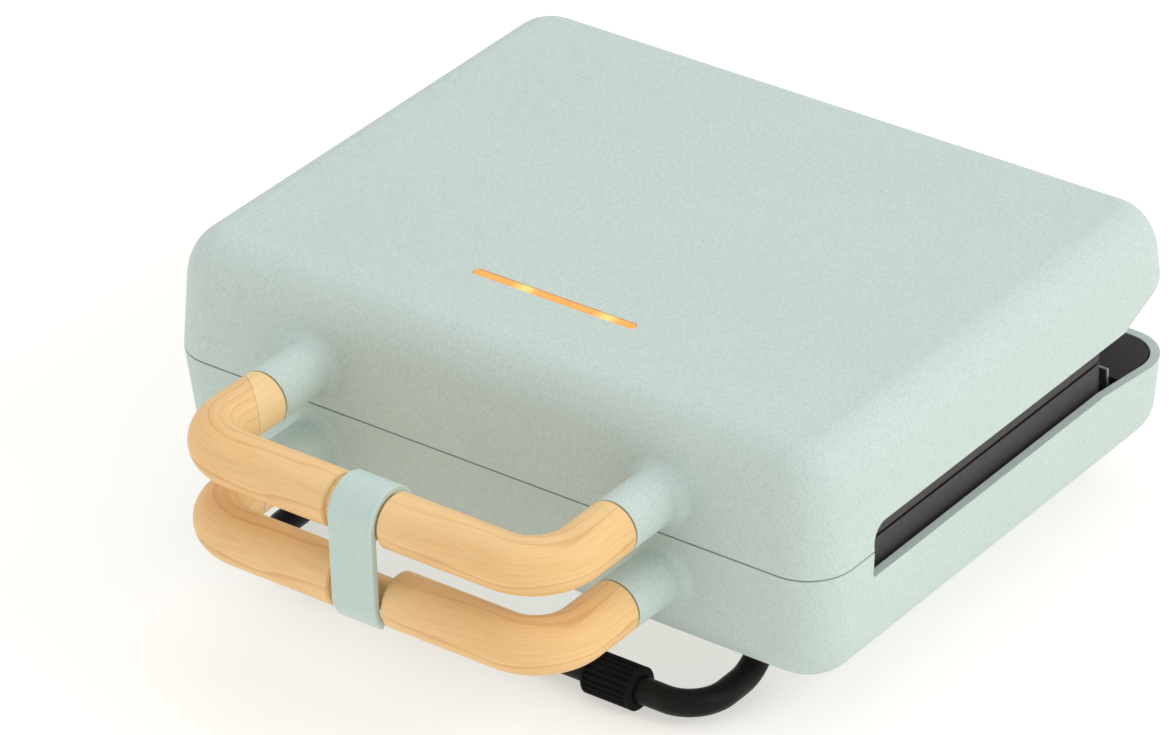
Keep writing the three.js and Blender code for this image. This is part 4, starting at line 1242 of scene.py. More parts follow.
    def bosses(self, casing: Workpiece) -> list[Workpiece]:
        """Models the screw posts, and in the base the foot sockets, kept inside the casing.

        Args:
            casing: The casing's outer form, as a solid.

        Returns:
            The posts and sockets.
        """
        made = []
        way = self.half.value
        outer = LAYOUT.seam_z + way * (self.height() - LAYOUT.wall / 2)
        inner = LAYOUT.seam_z + way * self.post_reach
        for _, side in SIDES:
            x = side * (LAYOUT.side - self.post_inset)
            for y in (LAYOUT.plate_front + self.post_set_in, LAYOUT.plate_rear - self.post_set_in):
                made.append(Workpiece.rod("post", (x, y, (outer + inner) / 2), self.post_radius,
                                          Axis.Z, abs(outer - inner), 24))
            if self.half is Half.LOWER:
                for end in (-1, 1):
                    height = LAYOUT.wall / 2 + self.foot_socket + LAYOUT.wall
                    made.append(Workpiece.rod(
                        "socket", (side * (LAYOUT.side - LAYOUT.foot_bar_inset),
                                   end * (LAYOUT.rear - LAYOUT.foot_leg_inset), outer + height / 2),
                        LAYOUT.foot_bar_radius + LAYOUT.wall, Axis.Z, height, 32))
        for boss in made:
            boss.modifier("BOOLEAN", operation="INTERSECT", solver="EXACT", object=casing.obj)
        bpy.data.objects.remove(casing.obj)
        return made

    def build(self) -> None:
        """Puts the half together and hands it over."""
        shell, form = self.tub()
        shell.add(*self.bosses(form))
        shell.cut(self.vent())
        shell.add(*(self.sleeve(side) for _, side in SIDES))
        shell.cut(*self.holes())
        shell.soften(self.rim_round, 3, 40)
        shell.shade(34)
        name = "lid_shell" if self.half is Half.UPPER else "base_shell"
        shell.hand_over(self.half.body, "mint_shell", MINT_ABS, name)


@dataclass
class Handle:
    """A bent maple rod with a slimmer neck for the latch and a tenon at each end."""

    half: Half
    bend: float = 15.8
    shoulder: float = 0.6
    end_round: float = 0.5

    def leg(self) -> float:
        """Straight length of each leg, from the sleeve to the bend."""
        return LAYOUT.sleeve_end - LAYOUT.gap - LAYOUT.handle_y - self.bend

    def rod(self) -> Workpiece:
        """Models the rod along its route, from the left tenon to the right one.

        Returns:
            The rod.
        """
        z, y, x = LAYOUT.handle_z(self.half), LAYOUT.handle_y, LAYOUT.handle_x
        start = LAYOUT.sleeve_end - LAYOUT.gap
        back = LAYOUT.sleeve_end + LAYOUT.tenon_length
        full, thin = LAYOUT.handle_radius, LAYOUT.tenon_radius
        neck = LAYOUT.neck_radius(self.half)
        half = LAYOUT.latch_width / 2 + LAYOUT.latch_offset + LAYOUT.neck_gap
        step = self.shoulder
        wood = Workpiece.disc(f"{self.half.word}_maple_handle", (-x, back, z), thin, Axis.Y, 48)
        up = self.end_round
        with wood.editing():
            wood.pick_all()
            wood.extrude((0, start - back, 0))
            self.swell(wood, (full - up) / thin, (-x, start, z), (1, 0, 1))
            wood.extrude((0, -up, 0))
            wood.scale((full / (full - up), 1, full / (full - up)), (-x, start - up, z))
            wood.follow([(-x, start - up, z), (-x, y, z), (-half - step, y, z)], self.bend, 14)
            wood.extrude((step, 0, 0))
            wood.scale((1, (full - step) / full, (full - step) / full), (-half, y, z))
            self.swell(wood, (neck + 0.4) / (full - step), (-half, y, z), (0, 1, 1))
            wood.extrude((0.4, 0, 0))
            wood.scale((1, neck / (neck + 0.4), neck / (neck + 0.4)), (-half + 0.4, y, z))
            wood.extrude((2 * half - 0.8, 0, 0))
            wood.extrude((0.4, 0, 0))
            wood.scale((1, (neck + 0.4) / neck, (neck + 0.4) / neck), (half, y, z))
            self.swell(wood, (full - step) / (neck + 0.4), (half, y, z), (0, 1, 1))
            wood.extrude((step, 0, 0))
            wood.scale((1, full / (full - step), full / (full - step)), (half + step, y, z))
            wood.follow([(half + step, y, z), (x, y, z), (x, start - up, z)], self.bend, 14)
            wood.extrude((0, up, 0))
            wood.scale(((full - up) / full, 1, (full - up) / full), (x, start, z))
            self.swell(wood, thin / (full - up), (x, start, z), (1, 0, 1))
            wood.extrude((0, back - start, 0))
        wood.face_outwards()
        return wood

    @staticmethod
    def swell(piece: Workpiece, factor: float, centre: Point, across: Point) -> None:
        """Steps the end face in or out where it stands.

        Args:
            piece: The piece in edit mode.
            factor: How much wider the face gets.
            centre: Middle of the face.
            across: 1 for each axis that lies in the face.
        """
        piece.extrude((0, 0, 0))
        piece.scale(tuple(factor if a else 1.0 for a in across), centre)

    def grain(self, wood: Workpiece) -> None:
        """Writes each corner's place along and across the rod into the grain attribute.

        Args:
            wood: The finished rod.
        """
        z = LAYOUT.handle_z(self.half)
        y = LAYOUT.handle_y
        inner = LAYOUT.handle_x - self.bend
        leg, arc = self.leg(), self.bend * math.pi / 2
        mesh = wood.obj.data
        values = []
        for corner in mesh.vertices:
            px, py = corner.co.x / MM, (corner.co.y - MIDDLE_Y) / MM
            side = -1 if px < 0 else 1
            ahead = y + self.bend - py
            over = inner - abs(px)
            if ahead < 0:
                along, out = leg + ahead, abs(px) - LAYOUT.handle_x
            elif over < 0:
                turn = math.atan2(ahead, -over)
                along = leg + self.bend * turn
                out = math.hypot(ahead, over) - self.bend
            else:
                along, out = leg + arc + over, y - py
            full = 2 * (leg + arc + inner)
            along = along if side < 0 else full - along
            values += (along * MM, out * MM, corner.co.z - z * MM)
        layer = mesh.attributes.new("grain", "FLOAT_VECTOR", "POINT")
        layer.data.foreach_set("vector", values)

    def build(self) -> None:
        """Models the rod, maps its grain and hands it over."""
        wood = self.rod()
        self.grain(wood)
        wood.shade(30, weighted=False)
        wood.hand_over(self.half.body, "maple_handle", MAPLE, f"{self.half.word}_handle")


@dataclass
class Latch:
    """A sprung clip: round the upper neck, down the front and under the lower neck."""

    thick: float = 2.7
    wrap: float = 55.0
    hook_gap: float = 0.2
    edge: float = 0.55

    def build(self) -> None:
        """Sweeps the strip round both necks and rounds its edges."""
        upper, lower = LAYOUT.handle_z(Half.UPPER), LAYOUT.handle_z(Half.LOWER)
        y, x = LAYOUT.handle_y, LAYOUT.latch_offset
        inner = LAYOUT.neck_radius(Half.UPPER) + LAYOUT.gap
        rear = math.radians(self.wrap)
        hook = math.acos((LAYOUT.neck_radius(Half.LOWER) + self.hook_gap) / inner)
        centre = inner + self.thick / 2
        place = (x, y + centre * math.cos(rear), upper - centre * math.sin(rear))
        nothing_selected()
        bpy.ops.mesh.primitive_plane_add(size=self.thick * MM, location=LAYOUT.at(*place),
                                         rotation=(-rear, 0, 0))
        clip = Workpiece.settle("latch_spring_clip")
        across = Vector((1, 0, 0))
        with clip.editing():
            clip.pick_all()
            clip.scale((LAYOUT.latch_width / self.thick, 1, 1), place)
            clip.spin(math.pi + rear, LAYOUT.at(x, y, upper), across, 36)
            clip.extrude((0, 0, lower - upper))
            clip.spin(hook, LAYOUT.at(x, y, lower), across, 10)
        clip.face_outwards()
        with clip.editing():
            clip.pick("EDGE", lambda e: len(e.link_faces) == 2 and e.calc_face_angle() > 1.0)
            clip.bevel(self.edge, 3)
        clip.shade(35)
        clip.hand_over(Body.LATCH, "mint_latch", MINT_CLIP, "latch_clip")


@dataclass
class CookingPlate:
    """A cast plate with seven ring moulds, a skirt and four screw posts."""

    half: Half
    deck: float = 3.0
    skirt: float = 2.5
    front_corner: float = 14.0
    rear_corner: float = 8.0
    ring: float = 15.0
    section: float = 8.0
    wall: float = 2.5
    pitch_x: float = 62.0
    pitch_y: float = 48.0
    post_radius: float = 4.2
    post_inset_x: float = 14.3
    post_inset_y: float = 11.6
    tool_lift: float = 0.07
    face_round: float = 0.6

    def span(self, start: float, end: float) -> tuple[float, float]:
        """Turns depths behind the seam into two heights, lowest first."""
        ends = sorted(LAYOUT.seam_z + self.half.value * d for d in (start, end))
        return ends[0], ends[1]

    def slab(self, name: str, shrink: float, start: float, end: float) -> Workpiece:
        """Models a rounded slab of the plate's plan.

        Args:
            name: Name of the slab.
            shrink: How far inside the plate's edge it lies.
            start: Nearer depth from the seam.
            end: Farther depth.

        Returns:
            The slab.
        """
        low, high = self.span(start, end)
        side = LAYOUT.plate_side - shrink
        piece = Workpiece.block(name, (-side, LAYOUT.plate_front + shrink, low),
                                (side, LAYOUT.plate_rear - shrink, high))
        middle_y = LAYOUT.at(0, 0, 0).y
        for corner, front in ((self.front_corner, True), (self.rear_corner, False)):
            with piece.editing():
                piece.pick("EDGE", lambda e, f=front: abs(direction(e).z) > FACING
                           and (middle(e).y < middle_y) == f)
                piece.bevel(corner - shrink, 10)
        return piece

    def build(self) -> None:
        """Builds the plate from its slab, skirt, mould backs and ring grooves."""
        face = LAYOUT.plate_face
        back = face + LAYOUT.skirt_depth
        plate = self.slab(f"{self.half.word}_mould_plate", 0.0, face, back)
        plate.cut(self.slab("hollow_tool", self.skirt, face + self.deck, back + 2))
        middle_y = (LAYOUT.plate_front + LAYOUT.plate_rear) / 2
        places = [(column * self.pitch_x, middle_y + row * self.pitch_y) for column, row in
                  ((-0.5, 1), (0.5, 1), (-1, 0), (0, 0), (1, 0), (-0.5, -1), (0.5, -1))]
        low, high = self.span(face + self.deck / 2, face + self.section + self.wall)
        outer = self.ring + self.section + self.wall
        plate.add(*(Workpiece.rod("mould_back", (x, y, (low + high) / 2), outer, Axis.Z,
                                  high - low, 40) for x, y in places))
        post_low, post_high = self.span(face + self.deck / 2, back)
        for _, side in SIDES:
            x = side * (LAYOUT.plate_side - self.post_inset_x)
            for y in (LAYOUT.plate_front + self.post_inset_y,
                      LAYOUT.plate_rear - self.post_inset_y):
                plate.add(Workpiece.rod("post", (x, y, (post_low + post_high) / 2),
                                        self.post_radius, Axis.Z, post_high - post_low, 24))
        # The rings stand a little off the face, so that none of their corners lies on it.
        seam = LAYOUT.seam_z + self.half.value * (face - self.tool_lift)
        plate.cut(*(Workpiece.torus("ring_tool", (x, y, seam), self.ring, self.section)
                    for x, y in places))
        plate.soften(self.face_round, 3, 40)
        plate.shade(32)
        plate.hand_over(self.half.body, "non_stick_plate", NON_STICK,
                        f"{self.half.word}_cooking_plate")


@dataclass
class RearCover:
    """A flat nylon cover behind a plate, notched round each hinge."""

    half: Half
    depth: float
    gap: float
    notch_half: float
    thick: float = 1.8
    corner: float = 11.0
    front_corner: float = 2.0

    def build(self) -> None:
        """Cuts the sheet and its notches."""
        inset = LAYOUT.wall + LAYOUT.draft * (self.depth + self.thick) + LAYOUT.plate_clearance
        side = LAYOUT.side - inset
        low, high = sorted(LAYOUT.seam_z + self.half.value * d
                           for d in (self.depth, self.depth + self.thick))
        name = "lid_rear_cover" if self.half is Half.UPPER else "hinge_cover"
        sheet = Workpiece.block(f"{name}_sheet", (-side, LAYOUT.plate_rear + self.gap, low),
                                (side, LAYOUT.rear - inset, high))
        middle_y = LAYOUT.at(0, LAYOUT.plate_rear + 12, 0).y
        with sheet.editing():
            sheet.pick("EDGE", lambda e: abs(direction(e).z) > FACING and middle(e).y > middle_y)
            sheet.bevel(self.corner, 10)
        with sheet.editing():
            sheet.pick("EDGE", lambda e: abs(direction(e).z) > FACING and middle(e).y < middle_y)
            sheet.bevel(self.front_corner, 4)
        reach = LAYOUT.hinge_knuckle + 2 * LAYOUT.gap
        for _, way in SIDES:
            x = way * LAYOUT.hinge_x
            sheet.cut(Workpiece.block(
                "notch_tool", (x - self.notch_half, LAYOUT.hinge_y - reach, low - 1),
                (x + self.notch_half, LAYOUT.hinge_y + reach, high + 1)))
        sheet.soften(0.4, 2, 40)
        sheet.shade(32)
        sheet.hand_over(self.half.body, "black_plastic", BLACK_NYLON, name)


@dataclass
class LightBar:
    """The amber diffuser in the lid, with the flange that holds it from below."""

    length: float = 61.0
    width: float = 3.2
    flange: float = 2.4
    flange_thick: float = 1.2
    crown: float = 0.45

    def stadium(self, name: str, grow: float, low: float, high: float) -> Workpiece:
        """Models a slab with round ends.

        Args:
            name: Name of the slab.
            grow: How far it stands out all round.
            low: Lower height.
            high: Upper height.

        Returns:
            The slab.
        """
        x, half, y = self.length / 2 + grow, self.width / 2 + grow, LAYOUT.light_bar_y
        piece = Workpiece.block(name, (-x, y - half, low), (x, y + half, high))
        with piece.editing():
            piece.pick("EDGE", lambda e: abs(direction(e).z) > FACING)
            piece.bevel(half * 0.98, 10)
        return piece

    def build(self) -> None:
        """Crowns the bar, adds its flange and hands it over."""
        top = LAYOUT.top_z
        under = top - LAYOUT.wall - LAYOUT.gap
        lens = self.stadium("light_bar_diffuser", -LAYOUT.gap / 2, under - 0.5, top)
        top_m = top * MM
        with lens.editing():
            lens.pick("EDGE", lambda e: all(abs(v.co.z - top_m) < ON_PLANE for v in e.verts))
            lens.bevel(self.crown, 4)
        lens.add(self.stadium("flange", self.flange, under - self.flange_thick, under))
        lens.soften(0.2, 2, 50)
        lens.shade(35)
        lens.hand_over(Body.LID, "amber_lens", AMBER, "light_bar_lens")


@dataclass
class Hinge:
    """One hinge: a bored arm on the lid between the ears of a bracket on the base."""

    name: str
    side: int
    arm_height: float = 25.0
    bracket_depth: float = 25.0
    edge: float = 0.35

    def plate(self, name: str, half_width: float, foot: float, head: float) -> Workpiece:
        """Models an upright plate with one round end about the hinge axis.

        Args:
            name: Name of the plate.
            half_width: Half its width across.
            foot: Height of its lower end.
            head: Height of its upper end.

        Returns:
            The plate.
        """
        x, y, knuckle = self.side * LAYOUT.hinge_x, LAYOUT.hinge_y, LAYOUT.hinge_knuckle
        piece = Workpiece.block(name, (x - half_width, y - knuckle, foot),
                                (x + half_width, y + knuckle, head))
        seam = LAYOUT.seam_z * MM
        with piece.editing():
            piece.pick("EDGE", lambda e: abs(direction(e).x) > FACING
                       and abs(middle(e).z - seam) < 0.0068)
            piece.bevel(knuckle * 0.995, 10)
        return piece

    def bore(self) -> Workpiece:
        """Models the tool for the pin's bore."""
        place = (self.side * LAYOUT.hinge_x, LAYOUT.hinge_y, LAYOUT.seam_z)
        return Workpiece.rod("pin_tool", place, LAYOUT.hinge_pin_radius + LAYOUT.gap, Axis.X,
                             8 * TOOL_REACH)

    def build(self) -> None:
        """Builds the arm, the bracket and the headed pin."""
        x, y, seam = self.side * LAYOUT.hinge_x, LAYOUT.hinge_y, LAYOUT.seam_z
        knuckle, half = LAYOUT.hinge_knuckle, LAYOUT.hinge_arm_width / 2
        arm = self.plate(f"hinge_lid_arm_{self.name}", half, seam - knuckle, seam + self.arm_height)
        arm.cut(self.bore())
        arm.soften(self.edge, 2)
        arm.shade()
        arm.hand_over(Body.LID, "zinc_steel", ZINC, f"hinge_arm_{self.name}")
        outer = LAYOUT.hinge_outer
        bracket = self.plate(f"hinge_base_bracket_{self.name}", outer,
                             seam - self.bracket_depth, seam + knuckle)
        inner = outer - LAYOUT.hinge_ear
        floor = seam - self.bracket_depth + LAYOUT.hinge_ear
        bracket.cut(Workpiece.block("slot_tool", (x - inner, y - 10, floor),
                                    (x + inner, y + 10, seam + 20)))
        bracket.cut(self.bore())
        bracket.soften(self.edge, 2)
        bracket.shade()
        bracket.hand_over(Body.BASE, "zinc_steel", ZINC, f"hinge_bracket_{self.name}")
        reach = outer + LAYOUT.gap
        radius = LAYOUT.hinge_pin_radius
        pin = Workpiece.disc(f"hinge_headed_pin_{self.name}", (x - reach - 1.5, y, seam),
                             radius + 0.5, Axis.X, 32)
        with pin.editing():
            pin.pick_all()
            for move, start, end in ((0.5, 0.5, 1.2), (1.0, 1.2, 1.2), (0.0, 1.2, 0.0),
                                     (2 * reach + 0.6, 0.0, 0.0), (0.4, 0.0, -0.4)):
                factor = (radius + end) / (radius + start)
                pin.extrude((move, 0, 0))
                pin.scale((1, factor, factor), (x, y, seam))
        pin.face_outwards()
        pin.shade(35, weighted=False)
        pin.hand_over(Body.BASE, "zinc_steel", ZINC, f"hinge_pin_{self.name}")


@dataclass
class PlateBracket:
    """A pressed angle with a round hole, behind each rear corner of the lower plate."""

    name: str
    side: int
    width: float = 8.0
    thick: float = 1.2
    edge_inset: float = 5.0
    foot_drop: float = 18.6
    head_drop: float = 6.0
    foot_length: float = 8.0
    hole_radius: float = 1.6

    def build(self) -> None:
        """Extrudes the angle's leg from its foot and drills it."""
        x = self.side * (LAYOUT.plate_side - self.edge_inset)
        y = LAYOUT.plate_rear + LAYOUT.gap
        foot = LAYOUT.seam_z - self.foot_drop
        half = self.width / 2
        angle = Workpiece.block(
            f"plate_corner_bracket_{self.name}", (x - half, y, foot - self.thick),
            (x + half, y + self.thick, LAYOUT.seam_z - self.head_drop))
        angle.add(Workpiece.block("foot", (x - half, y - self.foot_length, foot - self.thick),
                                  (x + half, y + self.thick / 2, foot)))
        angle.cut(Workpiece.rod("hole_tool", (x, y, foot + self.foot_length),
                                self.hole_radius, Axis.Y, 6, 20))
        angle.soften(0.25, 2)
        angle.shade()
        angle.hand_over(Body.BASE, "zinc_steel", ZINC, f"plate_bracket_{self.name}")


@dataclass
class FootBar:
    """A bent steel tube that carries one end of the base, with a rubber sleeve at each side."""

    name: str
    end: int
    reach: float = 7.15
    bend: float = 13.0
    socket: float = 9.0
    sleeve_radius: float = 7.0
    sleeve_length: float = 18.0
    sleeve_inset: float = 31.0
    flat: float = 0.4
    ribs: int = 22
    rib: float = 0.7
    collar: float = 1.3

    def tube(self) -> None:
        """Sweeps the tube from its left socket round to its right one."""
        x = LAYOUT.side - LAYOUT.foot_bar_inset
        leg = self.end * (LAYOUT.rear - LAYOUT.foot_leg_inset)
        bar = self.end * (LAYOUT.rear + self.reach)
        low = self.sleeve_radius - self.flat
        top = LAYOUT.stand_height + LAYOUT.wall + self.socket - LAYOUT.gap
        tube = Workpiece.disc(f"{self.name}_bent_tube", (-x, leg, top), LAYOUT.foot_bar_radius,
                              Axis.Z, 32)
        with tube.editing():
            tube.pick_all()
            tube.follow([(-x, leg, top), (-x, leg, low), (-x, bar, low), (x, bar, low),
                         (x, leg, low), (x, leg, top)], self.bend, 12)
        tube.face_outwards()
        tube.shade(30, weighted=False)
        tube.hand_over(Body.BASE, "black_tube", ENAMEL, f"{self.name}_foot_bar")

    def sleeve(self, name: str, side: int) -> None:
        """Models one ribbed sleeve with a plain collar at each end.

        Args:
            name: Left or right.
            side: -1 for left, 1 for right.
        """
        radius, low = self.sleeve_radius, self.sleeve_radius - self.flat
        x = side * (LAYOUT.side - LAYOUT.foot_bar_inset - self.sleeve_inset)
        y = self.end * (LAYOUT.rear + self.reach)
        half = self.sleeve_length / 2
        sides = self.ribs * 4
        sleeve = Workpiece.disc(f"{self.name}_ribbed_sleeve_{name}", (x - half, y, low),
                                radius - 0.35, Axis.X, sides)
        axis = LAYOUT.at(x, y, low)

        def groove(corner: bmesh.types.BMVert, plane: float) -> bool:
            """Says whether a corner of the end face lies in a groove."""
            if abs(corner.co.x - plane) > 1e-6:
                return False
            turn = math.atan2(corner.co.z - axis.z, corner.co.y - axis.y) % (2 * math.pi)
            return round(turn / (2 * math.pi) * sides) % 4 in (0, 1)

        inner = (radius - self.rib) / radius
        with sleeve.editing():
            sleeve.pick_all()
            sleeve.extrude((0.35, 0, 0))
            sleeve.scale((1, radius / (radius - 0.35), radius / (radius - 0.35)), (x, y, low))
            sleeve.extrude((self.collar - 0.35, 0, 0))
            ends = ((x - half + self.collar) * MM, (x + half - self.collar) * MM)
            sleeve.extrude((0, 0, 0))
            sleeve.scale((1, inner, inner), (x, y, low))
            sleeve.extrude((0.25, 0, 0))
            sleeve.extrude((self.sleeve_length - 2 * self.collar - 0.5, 0, 0))
            sleeve.extrude((0.25, 0, 0))
            sleeve.scale((1, 1 / inner, 1 / inner), (x, y, low))
            sleeve.extrude((self.collar - 0.35, 0, 0))
            sleeve.extrude((0.35, 0, 0))
            sleeve.scale((1, (radius - 0.35) / radius, (radius - 0.35) / radius), (x, y, low))
            first, last = ends[0] + 0.00026, ends[1] - 0.00026
            waist = (radius - self.rib / 2) * MM
            sleeve.pick("VERT", lambda v: first - 2e-5 < v.co.x < last + 2e-5
                        and math.hypot(v.co.y - axis.y, v.co.z - axis.z) < waist
                        and not groove(v, v.co.x))
            sleeve.scale((1, 1 / inner, 1 / inner), (x, y, low))
        sleeve.face_outwards()
        sleeve.cut(Workpiece.rod("bore_tool", (x, y, low), LAYOUT.foot_bar_radius + LAYOUT.gap,
                                 Axis.X, self.sleeve_length + 4))
        with sleeve.editing():
            sleeve.pick_all()
            bpy.ops.mesh.bisect(plane_co=(0, 0, 0), plane_no=(0, 0, -1), use_fill=True,
                                clear_outer=True, threshold=1e-7)
        sleeve.shade(50, weighted=False)
        sleeve.hand_over(Body.BASE, "black_rubber", RUBBER, f"{self.name}_foot_sleeve_{name}")

    def build(self) -> None:
        """Builds the tube and both sleeves."""
        self.tube()
        for name, side in SIDES:
            self.sleeve(name, side)


@dataclass
class CordGland:
    """The moulded gland in the rear wall that the mains cord passes through."""

    radius: float = 6.0
    flange: float = 8.5
    drop: float = 26.0
    bore: float = 3.4

    def build(self) -> None:
        """Turns the gland with three relief rings and bores it."""
        z = LAYOUT.seam_z - self.drop
        outside = LAYOUT.rear
        inside = outside - 2 * LAYOUT.wall - self.drop * LAYOUT.draft
        gland = Workpiece.disc("cord_strain_relief", (0, inside, z), self.radius, Axis.Y, 48)
        profile = [(outside, self.radius), (outside, self.flange), (outside + 1.6, self.flange),
                   (outside + 2.0, self.flange - 0.4), (outside + 2.0, self.radius + 0.7)]
        for ring in range(3):
            start = outside + 2.0 + ring * 2.0
            wide = self.radius + 0.6 - ring * 0.5
            profile += [(start + 1.1, wide), (start + 1.1, wide - 0.9), (start + 2.0, wide - 0.9)]
            if ring < 2:
                profile.append((start + 2.0, wide - 0.5))
        with gland.editing():
            gland.pick_all()
            here, wide = inside, self.radius
            for along, radius in profile:
                gland.extrude((0, along - here, 0))
                gland.scale((radius / wide, 1, radius / wide), (0, along, z))
                here, wide = along, radius
        gland.face_outwards()
        gland.cut(Workpiece.rod("cord_tool", (0, outside, z), self.bore, Axis.Y, 60))
        gland.shade(35, weighted=False)
        gland.hand_over(Body.BASE, "black_plastic", BLACK_NYLON, "cord_gland")


@dataclass
class Screws:
    """Every pan-head screw: one model for each length, copied to its places."""

    shank: float = 1.9
    head: float = 3.4
    head_height: float = 2.2
    recess: float = 1.2

    def model(self, length: float) -> Workpiece:
        """Models a screw that points down from the origin, with its head above.

        Args:
            length: Length under the head.

        Returns:
            The screw.
        """
        offset = -MIDDLE_Y / MM
        centre = (0.0, offset, 0.0)
        screw = Workpiece.disc(f"pan_screw_{length:.0f}", (0, offset, -length), 0.5, Axis.Z, 20)
        profile = [(-length + 1.6, self.shank), (-0.4, self.shank), (0.0, self.shank),
                   (0.0, self.head), (self.head_height * 0.55, self.head),
                   (self.head_height * 0.85, self.head * 0.86), (self.head_height, self.head * 0.6)]
        with screw.editing():
            screw.pick_all()
            here, wide = -length, 0.5
            for along, radius in profile:
                screw.extrude((0, 0, along - here))
                screw.scale((radius / wide, radius / wide, 1), (centre[0], centre[1], along))
                here, wide = along, radius
        screw.face_outwards()
        top = self.head_height
        for x, y in ((1.9, 0.35), (0.35, 1.9)):
            screw.cut(Workpiece.block("recess_tool", (-x, offset - y, top - self.recess),
                                      (x, offset + y, top + 1)))
        screw.shade(40, weighted=False)
        return screw

    def build(self) -> None:
        """Copies the models into every screw's place and hands the copies over."""
        models: dict[int, Workpiece] = {}
        for node in sorted(frame["nodes"]):
            if "_screw_" not in node:
                continue
            low, high = (Vector(c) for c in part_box(node))
            size = high - low
            upright = size.z > size.y
            full = (size.z if upright else size.y) / MM
            length = full - self.head_height
            key = round(length * 10)
            if key not in models:
                models[key] = self.model(length)
            centre = (low + high) / 2
            if not upright:
                turn = Matrix.Rotation(-math.pi / 2, 4, "X")
                seat = Vector((centre.x, high.y - self.head_height * MM, centre.z))
            elif node.startswith("upper_plate"):
                turn = Matrix.Identity(4)
                seat = Vector((centre.x, centre.y, high.z - self.head_height * MM))
            else:
                turn = Matrix.Rotation(math.pi, 4, "X")
                seat = Vector((centre.x, centre.y, low.z + self.head_height * MM))
            copy = models[key].copy(f"{node}_pan_head", Matrix.Translation(seat) @ turn)
            body = Body.LID if node.startswith(("lid", "upper")) else Body.BASE
            copy.hand_over(body, "zinc_steel", ZINC, node)
        for model in models.values():
            bpy.data.objects.remove(model.obj)


@dataclass(frozen=True)
class Works:
    """The hidden works, whose frame parts are shown as they are in their own finish."""

    finishes: tuple[tuple[str, Finish], ...] = (
        ("carrier", BLACK_NYLON), ("heating_element", SHEATH), ("reflector", ALUMINISED),
        ("thermostat", STEATITE), ("thermal_fuse", STEATITE), ("terminal_block", STEATITE),
        ("indicator_board", BOARD), ("lamp", LAMP_RESIN))

    def build(self) -> None:
        """Gives each carried-over node its material."""
        for node, obj in frame["nodes"].items():
            for word, finish in self.finishes:
                if word in node:
                    obj.data.materials.clear()
                    obj.data.materials.append(finish.material())
                    LOG.info("%s: shown as packed, %s", node, finish.name)


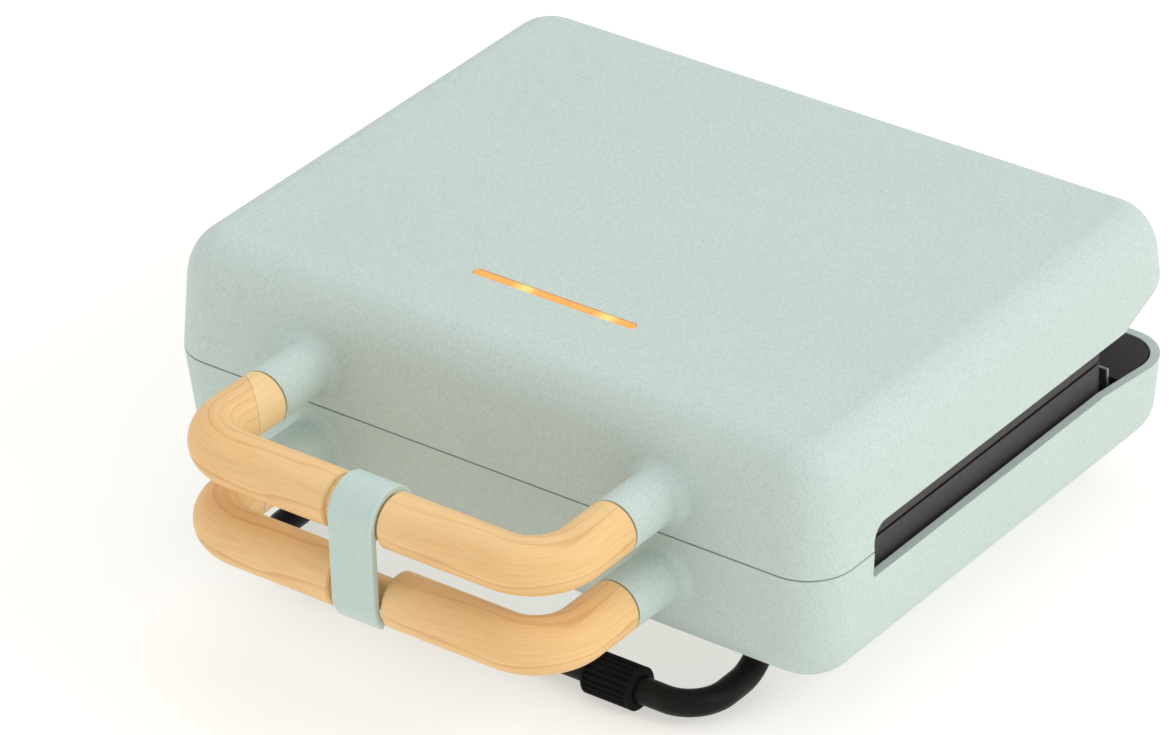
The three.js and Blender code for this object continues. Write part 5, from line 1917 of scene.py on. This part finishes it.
@dataclass
class Studio:
    """Pale floor, soft lights and the camera."""

    eye: Point = (1.09983, -1.460285, 1.14268)
    right: Point = (0.80013, 0.59905, -0.03041)
    down: Point = (0.28744, -0.42743, -0.85714)
    forward: Point = (-0.52647, 0.67708, -0.51419)
    lens_mm: float = 210.63
    floor_half: float = 6.0

    def camera(self) -> None:
        """Places the camera."""
        data = bpy.data.cameras.new("camera")
        data.sensor_fit = "HORIZONTAL"
        data.sensor_width = 36.0
        data.lens = self.lens_mm
        data.clip_start, data.clip_end = 0.05, 60.0
        camera = bpy.data.objects.new("camera", data)
        bpy.context.collection.objects.link(camera)
        columns = [Vector(self.right), -Vector(self.down), -Vector(self.forward)]
        turn = Matrix([[c[i] for c in columns] for i in range(3)]).to_4x4()
        eye = Vector(self.eye) + Vector((0, MIDDLE_Y, 0))
        camera.matrix_world = Matrix.Translation(eye) @ turn
        bpy.context.scene.camera = camera

    def floor(self) -> None:
        """Lays a wide pale floor under the feet."""
        nothing_selected()
        bpy.ops.mesh.primitive_plane_add(size=2 * self.floor_half, location=(0, 0, 0))
        plane = Workpiece.settle("studio_floor")
        made = bpy.data.materials.new("painted_white_board")
        made.use_nodes = True
        shader = made.node_tree.nodes["Principled BSDF"]
        shader.inputs["Base Color"].default_value = linear("C6C5C3")
        shader.inputs["Roughness"].default_value = 0.85
        shader.inputs["Emission Color"].default_value = linear("FFFDF8")
        shader.inputs["Emission Strength"].default_value = 0.50
        plane.obj.data.materials.append(made)

    @staticmethod
    def lamp(name: str, place: Point, target: Point, size: float, power: float,
             colour: str) -> None:
        """Hangs a square soft light.

        Args:
            name: Name of the light.
            place: Where it hangs, in metres.
            target: What it points at.
            size: Side in metres.
            power: Watts.
            colour: Its colour as hex.
        """
        data = bpy.data.lights.new(name, "AREA")
        data.size = size
        data.energy = power
        data.color = linear(colour)[:3]
        lamp = bpy.data.objects.new(name, data)
        lamp.location = place
        lamp.rotation_mode = "QUATERNION"
        lamp.rotation_quaternion = (Vector(target) - Vector(place)).to_track_quat("-Z", "Y")
        bpy.context.collection.objects.link(lamp)

    def build(self) -> None:
        """Sets up the studio."""
        scene = bpy.context.scene
        scene.view_settings.view_transform = "Standard"
        world = bpy.data.worlds.new("studio_air")
        scene.world = world
        world.use_nodes = True
        sky = world.node_tree.nodes["Background"]
        sky.inputs["Color"].default_value = linear("FFFFFF")
        sky.inputs["Strength"].default_value = 0.78
        self.lamp("right_window", (2.2, 0.5, 1.5), (0, 0, 0.05), 1.6, 25.0, "FFFFFF")
        self.lamp("overhead", (-0.2, 0.6, 2.2), (0, 0, 0.05), 1.8, 7.0, "FFFFFF")
        self.lamp("front_fill", (-1.3, -1.9, 0.7), (0, 0, 0.05), 1.6, 4.0, "FFFDFA")
        self.camera()
        self.floor()


def main() -> None:
    """Builds the studio and every sub-assembly in order."""
    logging.basicConfig(level=logging.INFO, format="%(message)s")
    assemblies = [
        Studio(),
        Shell(Half.UPPER, edge_side=12.5, edge_up=15.0, vent_depth=7.9, dip_start=32.7,
              dip_end=4.7, dip_depth=18.0, vent_radius=6.5),
        Shell(Half.LOWER, edge_side=13.0, edge_up=12.0, vent_depth=9.4, dip_start=43.7,
              dip_end=17.7, dip_depth=12.3, vent_radius=1.6),
        Handle(Half.UPPER),
        Handle(Half.LOWER),
        Latch(),
        CookingPlate(Half.UPPER),
        CookingPlate(Half.LOWER),
        RearCover(Half.UPPER, depth=19.2, gap=3.5,
                  notch_half=LAYOUT.hinge_arm_width / 2 + LAYOUT.gap),
        RearCover(Half.LOWER, depth=12.6, gap=6.5, notch_half=LAYOUT.hinge_outer + LAYOUT.gap),
        LightBar(),
        *(Hinge(name, side) for name, side in SIDES),
        *(PlateBracket(name, side) for name, side in SIDES),
        FootBar("front", -1),
        FootBar("rear", 1),
        CordGland(),
        Screws(),
        Works(),
    ]
    for assembly in assemblies:
        LOG.info("building %s", type(assembly).__name__)
        assembly.build()


if __name__ == "__main__":
    main()
